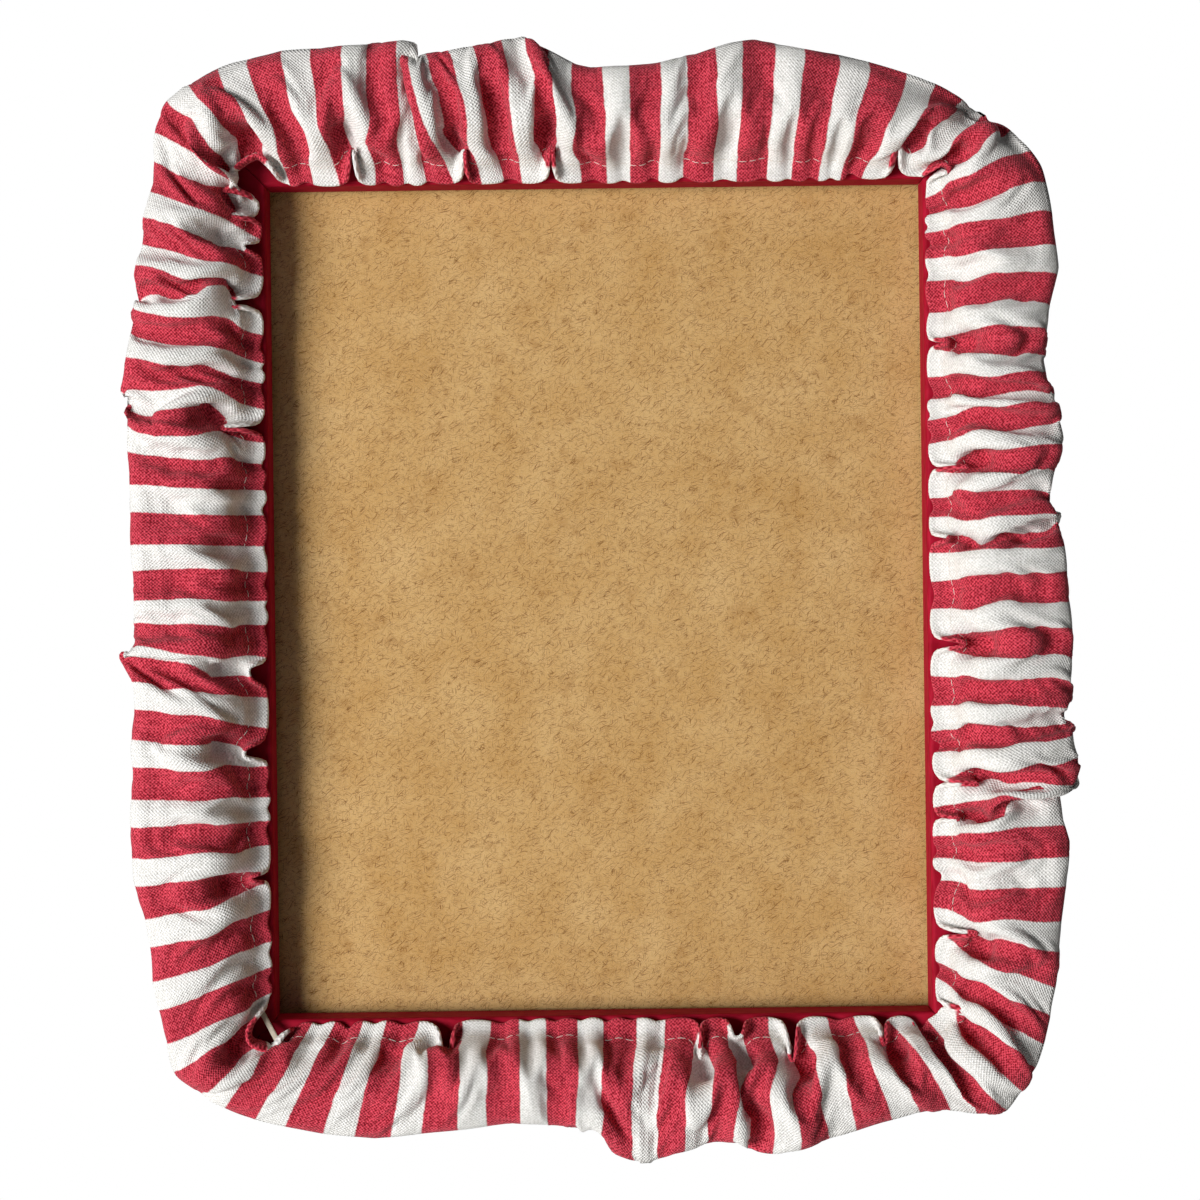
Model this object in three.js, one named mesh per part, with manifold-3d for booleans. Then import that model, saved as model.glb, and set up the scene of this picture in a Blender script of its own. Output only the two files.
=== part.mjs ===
// Ruffled fabric picture frame for an 8 x 10 in print: a mitred, painted timber frame with a clear pane and
// a fibreboard back held by turn buttons, dressed in a gathered striped cover with elastic in both hems.
// Millimetres, +Z up, the picture facing -Y. The origin is the middle of the backing board's rear face.
import * as THREE from "three";
import { mergeVertices } from "three/addons/utils/BufferGeometryUtils.js";
import Module from "manifold-3d";

const wasm = await Module();
wasm.setup();

// Driving dimensions: what the frame holds
const PRINT_WIDTH = 203.2;
const PRINT_HEIGHT = 254;
const PANE_THICKNESS = 2;
const BOARD_THICKNESS = 3;

// Driving dimensions: timber rails
const RAIL_WIDTH = 18;
const LIP_OVERLAP = 6.35;
const LIP_THICKNESS = 8.5;
const PRINT_CLEARANCE = 1;
const SIGHT_EDGE_RADIUS = 1.2;
const OUTER_EDGE_RADIUS = 2;
const BOARD_RECESS = 0.3;

// Driving dimensions: fits between pieces
const SEAT_GAP = 0.3;
const MITRE_GAP = 0.3;

// Driving dimensions: turn buttons, their screws and the corner wedges
const BUTTON_WIDTH = 6;
const BUTTON_REACH = 14;
const BUTTON_THICKNESS = 1.2;
const BUTTON_EDGE_BEVEL = 0.25;
const BUTTON_SPACING_SHORT = 124;
const BUTTON_SPACING_LONG = 140;
const SCREW_SHANK_RADIUS = 1.3;
const SCREW_HEAD_RADIUS = 2.7;
const SCREW_HEAD_HEIGHT = 1.5;
const SCREW_CROWN_RADIUS = 1.9;
const SCREW_LENGTH = 9;
const SCREW_TIP = 2;
const CROSS_WIDTH = 0.7;
const CROSS_LENGTH = 3;
const CROSS_DEPTH = 0.9;
const WEDGE_LEG = 5;
const WEDGE_THICKNESS = 0.8;
const WEDGE_HEIGHT = 7;
const WEDGE_INSET = 3;

// Driving dimensions: sawtooth hanger
const HANGER_LENGTH = 45;
const HANGER_WIDTH = 6.2;
const HANGER_THICKNESS = 0.8;
const HANGER_BRIDGE = 25;
const HANGER_RAMP = 3;
const HANGER_STANDOFF = 2;
const TOOTH_COUNT = 9;
const TOOTH_DEPTH = 1.6;
const NAIL_RADIUS = 0.7;
const NAIL_HEAD_RADIUS = 1.7;
const NAIL_HEAD_HEIGHT = 0.7;
const NAIL_LENGTH = 9;
const NAIL_TIP = 1.4;

// Driving dimensions: gathered cover and its elastics
const STRIPE_PAIR = 20;
const CLOTH_THICKNESS = 1.2;
const ELASTIC_WIDTH = 1.6;
const ELASTIC_THICKNESS = 1;
const FRONT_HEM_OUT = 0.8;
const STITCH_LINE = 5.5;
const FRONT_ELASTIC_INSET = 3.6;
const BACK_HEM_COVER = 3.2;
const BACK_ELASTIC_INSET = 1.8;
const HEM_SCALLOP = 4.2;
const FOLD_FULLNESS = 0.45;
const FOLD_HEIGHT_MOST = 7.5;
const BACK_FOLD_SHARE = 0.6;
const SHOULDER_DROP = 3;

// Sizes that follow from the ones above
const SIGHT_WIDTH = PRINT_WIDTH - 2 * LIP_OVERLAP;
const SIGHT_HEIGHT = PRINT_HEIGHT - 2 * LIP_OVERLAP;
const BOARD_FRONT = -BOARD_THICKNESS;
const PANE_BACK = BOARD_FRONT - SEAT_GAP;
const LIP_BACK = PANE_BACK - PANE_THICKNESS - SEAT_GAP;
const RAIL_FRONT = LIP_BACK - LIP_THICKNESS;
const RAIL_BACK = BOARD_RECESS;
const REBATE_WIDTH = LIP_OVERLAP + PRINT_CLEARANCE;
const BACK_HEM_OUT = RAIL_WIDTH - BACK_HEM_COVER;
const HEM_LIFT = SEAT_GAP + ELASTIC_THICKNESS + SEAT_GAP + CLOTH_THICKNESS;
const RAIL_LIFT = SEAT_GAP + CLOTH_THICKNESS;
const BUTTON_PIVOT_OUT = (REBATE_WIDTH + BACK_HEM_OUT) / 2;
const BUTTON_BACK = RAIL_BACK + SEAT_GAP + BUTTON_THICKNESS;

const ROUND_SIDES = 12;

const paint = new THREE.MeshStandardMaterial({ color: "#8f1424", roughness: 0.45 });
const fibreboard = new THREE.MeshStandardMaterial({ color: "#bb925c", roughness: 0.85 });
const clear = { transparent: true, opacity: 0.2 };
const acrylic = new THREE.MeshStandardMaterial({ color: "#f4f7f7", roughness: 0.05, ...clear });
const linen = new THREE.MeshStandardMaterial({ color: "#b8394d", roughness: 0.95 });
const elasticCord = new THREE.MeshStandardMaterial({ color: "#b9b0a0", roughness: 0.9 });
const zinc = new THREE.MeshStandardMaterial({ color: "#b7bbc0", roughness: 0.4, metalness: 1 });
const brass = new THREE.MeshStandardMaterial({ color: "#b8964f", roughness: 0.4, metalness: 1 });

// The four sides, clockwise seen from the front. Each is built as if it were the top one, with X along the
// side and Z outward from the middle of the window, and its group is then turned about Y.
const sideNames = ["top", "right", "bottom", "left"];
const sideHalf = (turn) => (turn % 2 === 0 ? SIGHT_WIDTH : SIGHT_HEIGHT) / 2;
const sideSight = (turn) => (turn % 2 === 0 ? SIGHT_HEIGHT : SIGHT_WIDTH) / 2;

const frame = new THREE.Group();
const sides = sideNames.map((name, turn) => {
  const side = new THREE.Group();
  side.rotation.y = (turn * Math.PI) / 2;
  frame.add(side);
  return side;
});

function addPiece(parent, name, geometry, material) {
  const piece = new THREE.Mesh(geometry, material);
  piece.name = name;
  parent.add(piece);
  return piece;
}

// A closed geometry as a solid for cutting, and a cut solid as a geometry again
function solidFrom(geometry) {
  const bare = geometry.clone();
  bare.deleteAttribute("normal");
  bare.deleteAttribute("uv");
  const merged = mergeVertices(bare, 1e-4);
  return new wasm.Manifold(
    new wasm.Mesh({
      numProp: 3,
      vertProperties: new Float32Array(merged.attributes.position.array),
      triVerts: new Uint32Array(merged.index.array),
    }),
  );
}

function geometryFrom(solid) {
  const mesh = solid.getMesh();
  const geometry = new THREE.BufferGeometry();
  geometry.setAttribute("position", new THREE.BufferAttribute(mesh.vertProperties, 3));
  geometry.setIndex(new THREE.BufferAttribute(mesh.triVerts, 1));
  geometry.computeVertexNormals();
  return geometry;
}

function cut(geometry, cutters) {
  let solid = solidFrom(geometry);
  for (const cutter of cutters) solid = solid.subtract(solidFrom(cutter));
  return geometryFrom(solid);
}

// A surface through rings of points, each ring a closed section, as one closed body: the rings join end to
// end in a loop, or the first and last are capped.
function loft(rings, loop) {
  const size = rings[0].length;
  const positions = rings.flat().flatMap((point) => point.toArray());
  const faces = [];
  const spans = loop ? rings.length : rings.length - 1;
  for (let i = 0; i < spans; i++) {
    const next = ((i + 1) % rings.length) * size;
    for (let j = 0; j < size; j++) {
      const side = (j + 1) % size;
      faces.push(i * size + j, next + j, next + side, i * size + j, next + side, i * size + side);
    }
  }
  if (!loop) {
    const flat = rings[0].map((point) => new THREE.Vector2(point.z, point.y));
    const lid = THREE.ShapeUtils.triangulateShape(flat, []);
    const flip = THREE.ShapeUtils.isClockWise(flat);
    const last = (rings.length - 1) * size;
    for (const [a, b, c] of lid) {
      faces.push(...(flip ? [a, c, b] : [a, b, c]));
      faces.push(...(flip ? [last + a, last + b, last + c] : [last + a, last + c, last + b]));
    }
  }
  const geometry = new THREE.BufferGeometry();
  geometry.setAttribute("position", new THREE.Float32BufferAttribute(positions, 3));
  geometry.setIndex(faces);
  return geometry;
}

// A revolved piece whose axis runs along Y. Its profile, [radius, height] pairs, starts and ends at radius 0.
function revolved(profile) {
  const points = profile.map(([radius, height]) => new THREE.Vector2(radius, height));
  return new THREE.LatheGeometry(points, ROUND_SIDES);
}

// Mitred rail: the moulding's section, drawn outward from the sight edge and back from the front face, is
// carried along the side, and each corner of the section runs out to its own place on the mitre.
function railGeometry(turn) {
  const section = new THREE.Shape();
  section.moveTo(0, LIP_BACK);
  section.lineTo(0, RAIL_FRONT + SIGHT_EDGE_RADIUS);
  const round = (out, radius, from, to) => section.absarc(out, RAIL_FRONT + radius, radius, from, to, false);
  round(SIGHT_EDGE_RADIUS, SIGHT_EDGE_RADIUS, Math.PI, 1.5 * Math.PI);
  round(RAIL_WIDTH - OUTER_EDGE_RADIUS, OUTER_EDGE_RADIUS, 1.5 * Math.PI, 0);
  section.lineTo(RAIL_WIDTH, RAIL_BACK);
  section.lineTo(REBATE_WIDTH, RAIL_BACK);
  section.lineTo(REBATE_WIDTH, LIP_BACK);
  const geometry = new THREE.ExtrudeGeometry(section, { depth: 1, bevelEnabled: false, curveSegments: 3 });
  const place = geometry.attributes.position;
  for (let i = 0; i < place.count; i++) {
    const out = place.getX(i);
    const end = place.getZ(i) > 0.5 ? -1 : 1;
    const along = end * (sideHalf(turn) + out - MITRE_GAP / 2);
    place.setXYZ(i, along, place.getY(i), sideSight(turn) + out);
  }
  return geometry;
}

// Steel wedge driven across a mitre from behind: two legs, one along each rail. grow widens it for its slot.
function wedgeGeometry(turn, grow) {
  const leg = WEDGE_LEG + grow;
  const half = WEDGE_THICKNESS / 2 + grow;
  const outline = new THREE.Shape();
  outline.moveTo(-half, half);
  outline.lineTo(-half, -leg);
  outline.lineTo(half, -leg);
  outline.lineTo(half, -half);
  outline.lineTo(leg, -half);
  outline.lineTo(leg, half);
  const height = WEDGE_HEIGHT + 3 * grow;
  const geometry = new THREE.ExtrudeGeometry(outline, { depth: height, bevelEnabled: false });
  const apex = REBATE_WIDTH + WEDGE_INSET;
  geometry.rotateX(Math.PI / 2);
  geometry.translate(-sideHalf(turn) - apex, RAIL_BACK - SEAT_GAP + 2 * grow, sideSight(turn) + apex);
  return geometry;
}

// Turn button: a stamped plate with a hole at one end, lying over the rail and pointing in over the board
function buttonGeometry() {
  const radius = BUTTON_WIDTH / 2 - BUTTON_EDGE_BEVEL;
  const outline = new THREE.Shape();
  outline.absarc(0, 0, radius, Math.PI, 0, true);
  outline.absarc(0, radius - BUTTON_REACH + BUTTON_EDGE_BEVEL, radius, 0, Math.PI, true);
  const geometry = new THREE.ExtrudeGeometry(outline, {
    depth: BUTTON_THICKNESS - 2 * BUTTON_EDGE_BEVEL,
    bevelThickness: BUTTON_EDGE_BEVEL,
    bevelSize: BUTTON_EDGE_BEVEL,
    bevelSegments: 1,
    curveSegments: ROUND_SIDES / 2,
  });
  geometry.rotateX(Math.PI / 2);
  geometry.translate(0, BUTTON_BACK - BUTTON_EDGE_BEVEL, 0);
  const boreRadius = SCREW_SHANK_RADIUS + SEAT_GAP;
  const bore = new THREE.CylinderGeometry(boreRadius, boreRadius, 4 * BUTTON_THICKNESS, ROUND_SIDES);
  bore.translate(0, BUTTON_BACK, 0);
  return cut(geometry, [bore]);
}

// Pan-head screw through a turn button, with a cross recess. Its shank runs forward into the rail.
function screwGeometry() {
  const seat = BUTTON_BACK + SEAT_GAP;
  const crown = seat + SCREW_HEAD_HEIGHT;
  const tip = seat - SCREW_LENGTH;
  const body = revolved([
    [0, tip],
    [SCREW_SHANK_RADIUS, tip + SCREW_TIP],
    [SCREW_SHANK_RADIUS, seat],
    [SCREW_HEAD_RADIUS, seat],
    [SCREW_HEAD_RADIUS, seat + SCREW_HEAD_HEIGHT / 2],
    [SCREW_CROWN_RADIUS, crown],
    [0, crown],
  ]);
  const arms = [0, Math.PI / 2].map((angle) => {
    const arm = new THREE.BoxGeometry(CROSS_LENGTH, 2 * CROSS_DEPTH, CROSS_WIDTH);
    arm.rotateY(angle);
    arm.translate(0, crown, 0);
    return arm;
  });
  return cut(body, arms);
}

// Round hole for a screw or nail of that radius, from the rail's back face to just past the tip
function pilotHole(radius, depth, along, out) {
  const length = 2 * depth;
  const hole = new THREE.CylinderGeometry(radius + SEAT_GAP, radius + SEAT_GAP, length, ROUND_SIDES);
  hole.translate(along, RAIL_BACK, out);
  return hole;
}

// Sawtooth hanger: a strip whose middle bridges away from the rail, with a toothed lower edge and a nail at
// each end
function hangerGeometry() {
  const low = RAIL_BACK + SEAT_GAP;
  const high = low + HANGER_STANDOFF;
  const half = HANGER_LENGTH / 2;
  const bridge = HANGER_BRIDGE / 2;
  const foot = bridge + HANGER_RAMP;
  const side = [[half, low], [foot, low], [bridge, high], [-bridge, high], [-foot, low], [-half, low]];
  const strip = new THREE.Shape();
  side.forEach(([x, y], i) => (i === 0 ? strip.moveTo(x, y) : strip.lineTo(x, y)));
  [...side].reverse().forEach(([x, y]) => strip.lineTo(x, y + HANGER_THICKNESS));
  const geometry = new THREE.ExtrudeGeometry(strip, { depth: HANGER_WIDTH, bevelEnabled: false });
  geometry.translate(0, 0, -HANGER_WIDTH / 2);
  const toothWidth = HANGER_BRIDGE / TOOTH_COUNT;
  const cutters = [];
  for (let i = 0; i < TOOTH_COUNT; i++) {
    const notch = new THREE.Shape();
    const middle = -bridge + (i + 0.5) * toothWidth;
    notch.moveTo(middle - toothWidth / 2, -HANGER_WIDTH / 2 - SEAT_GAP);
    notch.lineTo(middle + toothWidth / 2, -HANGER_WIDTH / 2 - SEAT_GAP);
    notch.lineTo(middle, -HANGER_WIDTH / 2 + TOOTH_DEPTH);
    const prism = new THREE.ExtrudeGeometry(notch, { depth: 4 * HANGER_THICKNESS, bevelEnabled: false });
    prism.rotateX(Math.PI / 2);
    prism.translate(0, high + 2.5 * HANGER_THICKNESS, 0);
    cutters.push(prism);
  }
  for (const along of nailPlaces()) {
    const hole = new THREE.CylinderGeometry(
      NAIL_RADIUS + SEAT_GAP, NAIL_RADIUS + SEAT_GAP, 4 * HANGER_THICKNESS, ROUND_SIDES,
    );
    hole.translate(along, low, 0);
    cutters.push(hole);
  }
  return cut(geometry, cutters);
}

function nailPlaces() {
  const place = (HANGER_LENGTH / 2 + HANGER_BRIDGE / 2 + HANGER_RAMP) / 2;
  return [-place, place];
}

function nailGeometry() {
  const seat = RAIL_BACK + SEAT_GAP + HANGER_THICKNESS + SEAT_GAP;
  const tip = seat - NAIL_LENGTH;
  return revolved([
    [0, tip],
    [NAIL_RADIUS, tip + NAIL_TIP],
    [NAIL_RADIUS, seat],
    [NAIL_HEAD_RADIUS, seat],
    [NAIL_HEAD_RADIUS, seat + NAIL_HEAD_HEIGHT],
    [0, seat + NAIL_HEAD_HEIGHT],
  ]);
}

// Gathered cover. Each row is one red stripe, in order along its side: where the stripe's middle meets the
// hem and where it meets the rim (both along the side from its middle, and past its end as an angle round the
// corner), how far the rim stands out beyond the rail, and where the nearest pinch lies, in stripe pairs.
const READ_HALF = [95.25, 120.65];
const CORNER_SWEEP = 30;
const STRIPES = [
  [
    [-94.5, -113, 21, 0], [-84, -95, 23, 0], [-70, -76, 24, 0.2], [-58, -60, 25, 0.3],
    [-44.5, -55.5, 22, 0.4], [-35, -46.5, 21, 0], [-22.5, -30.5, 24, -0.15], [-14, -15.5, 24, 0.1],
    [-0.5, -2.5, 18, -0.1], [14.5, 16, 18, 0.25], [29.5, 32, 22, -0.2], [46, 47.5, 25, 0.25],
    [62, 66, 22, 0], [75, 84, 17, -0.3], [86.5, 106, 13, 0.2],
  ],
  [
    [-119.5, -145, 14, 0.2], [-114.5, -123, 19, -0.05], [-101.5, -105, 22, -0.05], [-86, -87, 22, 0.3],
    [-73, -72, 18, 0], [-59.5, -60.5, 19, 0.2], [-46.5, -55, 21, -0.3], [-36.5, -39, 23, 0],
    [-26, -23.5, 20, -0.3], [-15.5, -18.5, 23, -0.1], [0, -3, 24, 0.3], [15, 16, 25, 0], [28, 31, 24, 0.3],
    [44.5, 36.5, 24, 0.2], [53, 52, 26, 0], [64, 58, 22, 0.1], [72.5, 71, 24, 0.3], [86.5, 90, 23, 0.1],
    [98.5, 109, 20, 0], [109, 128, 17, 0.1], [119, 144, 18, 0],
  ],
  [
    [-93, -115, 19, -0.05], [-80.5, -97, 13, 0.05], [-68, -77.5, 17, 0.35], [-54.5, -59, 23, 0.05],
    [-44, -46, 24, 0], [-32.5, -35.5, 21, -0.3], [-23, -18, 25, -0.15], [-4, -5, 24, -0.45],
    [13, 12, 16, 0.25], [30, 29, 15, -0.3], [45, 48, 17, 0.2], [59, 68, 18, -0.25], [74, 87.5, 16, 0.3],
    [90.5, 109, 13, -0.2],
  ],
  [
    [-119.5, -145, 17, 0], [-110, -122.5, 16, 0.3], [-93.5, -104, 19, 0.3], [-78, -86, 23, 0.05],
    [-67, -68.5, 24, 0.25], [-52, -52.5, 24, 0.1], [-39, -33.5, 24, -0.35], [-24.5, -19, 26, 0.3],
    [-10, -9.5, 22, -0.25], [5, 5, 23, -0.1], [21, 22.5, 24, 0.2], [37.5, 40, 24, -0.15],
    [48.5, 58, 24, 0.2], [60.5, 68, 25, -0.3], [73.5, 84, 22, -0.1], [86.5, 94.5, 21, 0], [98, 108, 20, 0.1],
    [111, 124, 16, 0.25], [119.5, 144, 20, 0.1],
  ],
];
const CORNER_OVERHANG = [20.5, 13, 18.5, 13.5];

// Height of a fold across its width, from one pinch to the next
const PROFILE = [
  { place: 0, height: 0 },
  { place: 0.22, height: 0.72 },
  { place: 0.5, height: 1 },
  { place: 0.78, height: 0.72 },
];

const mix = (a, b, share) => a + (b - a) * share;

// A place beside one side, in the side's own plan: straight out from the side, or swung round the corner past
// its end
function planPoint(turn, along, out) {
  const half = sideHalf(turn);
  const past = Math.max(Math.abs(along) - half, 0);
  const angle = ((past / CORNER_SWEEP) * Math.PI) / 4;
  const end = Math.sign(along);
  const straight = Math.min(Math.abs(along), half);
  return { along: end * (straight + Math.sin(angle) * out), out: Math.cos(angle) * out };
}

// Hem and rim positions at any place along the cloth, read between the stripes and the two corners. The read
// places are spread over the present length of the side.
function stripeReader(turn) {
  const half = sideHalf(turn);
  const onSide = half / READ_HALF[turn % 2];
  const toSide = (read) => {
    const past = Math.max(Math.abs(read) - READ_HALF[turn % 2], 0);
    return Math.sign(read) * ((Math.abs(read) - past) * onSide + past);
  };
  const rows = STRIPES[turn].map(([hem, rim, overhang], i) => {
    return { cloth: i, hem: toSide(hem), rim: toSide(rim), reach: RAIL_WIDTH + overhang };
  });
  const corner = (end, cloth, overhang) => {
    return { cloth, hem: end * half, rim: end * (half + CORNER_SWEEP), reach: RAIL_WIDTH + overhang };
  };
  const last = rows.length - 0.5;
  const knots = [
    corner(-1, -0.5, CORNER_OVERHANG[turn]),
    ...rows,
    corner(1, last, CORNER_OVERHANG[(turn + 1) % 4]),
  ];
  const read = (cloth) => {
    const next = Math.max(1, knots.findIndex((knot) => knot.cloth >= cloth - 1e-9));
    const [a, b] = [knots[next - 1], knots[next]];
    const share = (cloth - a.cloth) / (b.cloth - a.cloth);
    const hem = planPoint(turn, mix(a.hem, b.hem, share), FRONT_HEM_OUT);
    const rim = planPoint(turn, mix(a.rim, b.rim, share), mix(a.reach, b.reach, share));
    return { hem, rim };
  };
  const pinches = [-0.5, ...STRIPES[turn].map((row, i) => i + row[3]), last];
  return { read, pinches };
}

// One side's length of the cover as a thin closed shell: it runs from the front hem over the rail and out to
// the rim, turns there and comes back behind the rail to the back hem. Folds rise between the pinches.
function coverGeometry(turn) {
  const { read, pinches } = stripeReader(turn);
  const onLine = (line, share) => {
    return {
      along: mix(line.hem.along, line.rim.along, share),
      out: mix(line.hem.out, line.rim.out, share),
    };
  };
  const shareAtOut = (line, out) => (out - line.hem.out) / (line.rim.out - line.hem.out);
  const foldHeight = (from, to, share) => {
    const a = onLine(read(from), share);
    const b = onLine(read(to), share);
    const span = Math.hypot(b.along - a.along, b.out - a.out);
    const cloth = (to - from) * STRIPE_PAIR;
    const spare = Math.sqrt(Math.max(cloth * cloth - span * span, 0));
    return Math.min(FOLD_FULLNESS * spare, FOLD_HEIGHT_MOST);
  };
  const ring = (line, from, to, height) => {
    const fold = (share) => foldHeight(from, to, share) * height;
    const backFold = (share) => foldHeight(from, to, share) * (1 - height) * BACK_FOLD_SHARE;
    const scallop = (HEM_SCALLOP * (1 - height) * foldHeight(from, to, 0)) / FOLD_HEIGHT_MOST;
    const hem = shareAtOut(line, FRONT_HEM_OUT + scallop);
    const stitch = shareAtOut(line, FRONT_HEM_OUT + STITCH_LINE);
    const wall = shareAtOut(line, RAIL_WIDTH + SEAT_GAP);
    const shoulder = (wall + 1) / 2;
    const backHem = shareAtOut(line, BACK_HEM_OUT);
    const middle = (RAIL_FRONT + RAIL_BACK) / 2;
    const innerRim = shareAtOut(line, line.rim.out - CLOTH_THICKNESS);
    const rimSway = foldHeight(from, to, 1) * (0.5 - height);
    const point = (share, y) => {
      const plan = onLine(line, share);
      return new THREE.Vector3(plan.along, y, sideSight(turn) + plan.out);
    };
    const front = (inside) => [
      point(hem, RAIL_FRONT - HEM_LIFT - fold(0) + inside),
      point(stitch, RAIL_FRONT - HEM_LIFT - fold(stitch) + inside),
      point(wall, RAIL_FRONT - RAIL_LIFT - fold(wall) + inside),
      point(shoulder, RAIL_FRONT + SHOULDER_DROP - fold(shoulder) + inside),
    ];
    const back = (inside) => [
      point(wall, RAIL_BACK + HEM_LIFT + backFold(wall) - inside),
      point(backHem, RAIL_BACK + HEM_LIFT + backFold(backHem) - inside),
    ];
    const outer = [...front(0), point(1, middle + rimSway), ...back(0)];
    const inner = [...front(CLOTH_THICKNESS), point(innerRim, middle + rimSway), ...back(CLOTH_THICKNESS)];
    return [...outer, ...inner.reverse()];
  };
  const rings = [];
  for (let i = 0; i + 1 < pinches.length; i++) {
    const [from, to] = [pinches[i], pinches[i + 1]];
    for (const { place, height } of PROFILE) {
      const atMitre = i === 0 && place === 0;
      const line = atMitre ? mitreLine(turn, -1) : read(mix(from, to, place));
      rings.push(ring(line, from, to, height));
    }
  }
  const [from, to] = pinches.slice(-2);
  rings.push(ring(mitreLine(turn, 1), from, to, 0));
  return loft(rings, false);
}

// The line along a mitre, just short of the neighbouring side's length of cover
function mitreLine(turn, end) {
  const half = sideHalf(turn) - MITRE_GAP / 2;
  const reach = RAIL_WIDTH + CORNER_OVERHANG[end < 0 ? turn : (turn + 1) % 4];
  const rimOut = reach * Math.SQRT1_2;
  return {
    hem: { along: end * (half + FRONT_HEM_OUT), out: FRONT_HEM_OUT },
    rim: { along: end * (half + rimOut), out: rimOut },
  };
}

// Elastic: a flat ring that runs round the window at that distance out, its corners turned on a small radius
function elasticGeometry(out, middle) {
  const width = ELASTIC_WIDTH / 2;
  const thickness = ELASTIC_THICKNESS / 2;
  const section = [[-width, -thickness], [width, -thickness], [width, thickness], [-width, thickness]];
  const across = [-1, 1, 1, -1];
  const up = [1, 1, -1, -1];
  const cornerSteps = 4;
  const rings = [];
  for (let turn = 0; turn < 4; turn++) {
    const facing = (turn * Math.PI) / 2;
    for (let i = 0; i <= cornerSteps; i++) {
      const angle = facing + ((i / cornerSteps - 1) * Math.PI) / 2;
      const direction = new THREE.Vector3(Math.sin(angle), 0, Math.cos(angle));
      const corner = new THREE.Vector3((across[turn] * SIGHT_WIDTH) / 2, 0, (up[turn] * SIGHT_HEIGHT) / 2);
      rings.push(section.map(([w, t]) => {
        return corner.clone().addScaledVector(direction, out + w).setY(middle + t);
      }));
    }
  }
  return loft(rings, true);
}

// Assembly: what the frame holds
const pane = new THREE.BoxGeometry(PRINT_WIDTH, PANE_THICKNESS, PRINT_HEIGHT);
addPiece(frame, "acrylic_pane", pane, acrylic).position.y = PANE_BACK - PANE_THICKNESS / 2;
const board = new THREE.BoxGeometry(PRINT_WIDTH, BOARD_THICKNESS, PRINT_HEIGHT);
addPiece(frame, "backing_board", board, fibreboard).position.y = BOARD_FRONT / 2;

// Assembly: the elastic in each hem
const elasticLift = SEAT_GAP + ELASTIC_THICKNESS / 2;
const frontElastic = elasticGeometry(FRONT_HEM_OUT + FRONT_ELASTIC_INSET, RAIL_FRONT - elasticLift);
addPiece(frame, "front_elastic", frontElastic, elasticCord);
const backElastic = elasticGeometry(BACK_HEM_OUT + BACK_ELASTIC_INSET, RAIL_BACK + elasticLift);
addPiece(frame, "back_elastic", backElastic, elasticCord);

// Assembly: each side's rail with its holes, its turn buttons and screws, a corner wedge and its cover
sideNames.forEach((name, turn) => {
  const side = sides[turn];
  const pivot = sideSight(turn) + BUTTON_PIVOT_OUT;
  const spacing = turn % 2 === 0 ? BUTTON_SPACING_SHORT : BUTTON_SPACING_LONG;
  const shankDepth = SCREW_LENGTH - (BUTTON_BACK - RAIL_BACK);
  const cutters = [wedgeGeometry(turn, SEAT_GAP)];
  const farWedge = wedgeGeometry((turn + 1) % 4, SEAT_GAP).rotateY(Math.PI / 2);
  cutters.push(farWedge);
  [-1, 1].forEach((end, i) => {
    const place = (end * spacing) / 2;
    const label = `${name}_${i + 1}`;
    cutters.push(pilotHole(SCREW_SHANK_RADIUS, shankDepth, place, pivot));
    addPiece(side, `turn_button_${label}`, buttonGeometry(), zinc).position.set(place, 0, pivot);
    addPiece(side, `button_screw_${label}`, screwGeometry(), zinc).position.set(place, 0, pivot);
  });
  if (name === "top") {
    nailPlaces().forEach((place, i) => {
      cutters.push(pilotHole(NAIL_RADIUS, NAIL_LENGTH - HANGER_THICKNESS - SEAT_GAP, place, pivot));
      addPiece(side, `hanger_nail_${i + 1}`, nailGeometry(), brass).position.set(place, 0, pivot);
    });
    addPiece(side, "sawtooth_hanger", hangerGeometry(), brass).position.z = pivot;
  }
  addPiece(side, `rail_${name}`, cut(railGeometry(turn), cutters), paint);
  addPiece(side, `corner_wedge_${name}`, wedgeGeometry(turn, 0), zinc);
  addPiece(side, `ruffle_${name}`, coverGeometry(turn), linen);
});

export default frame;
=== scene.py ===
"""Ruffled fabric picture frame: a gathered striped cover on a painted timber frame.

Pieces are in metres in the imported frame's axes. The cover is worked out in millimetres."""

import math

import bpy
import numpy as np
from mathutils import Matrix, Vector


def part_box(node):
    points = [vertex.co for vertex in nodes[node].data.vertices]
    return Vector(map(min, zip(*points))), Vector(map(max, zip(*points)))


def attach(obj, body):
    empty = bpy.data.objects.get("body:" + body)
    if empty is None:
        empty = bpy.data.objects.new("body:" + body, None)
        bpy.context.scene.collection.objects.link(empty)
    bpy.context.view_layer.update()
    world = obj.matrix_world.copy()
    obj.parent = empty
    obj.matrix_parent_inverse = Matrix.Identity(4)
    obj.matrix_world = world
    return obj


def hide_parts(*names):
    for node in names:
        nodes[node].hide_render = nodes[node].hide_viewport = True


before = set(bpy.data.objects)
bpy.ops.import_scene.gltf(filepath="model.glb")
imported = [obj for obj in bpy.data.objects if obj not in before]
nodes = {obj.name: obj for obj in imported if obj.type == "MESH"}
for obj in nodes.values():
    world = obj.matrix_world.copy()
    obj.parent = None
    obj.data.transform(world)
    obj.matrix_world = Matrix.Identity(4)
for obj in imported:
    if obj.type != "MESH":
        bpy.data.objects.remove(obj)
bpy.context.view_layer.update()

MM = 0.001

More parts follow.
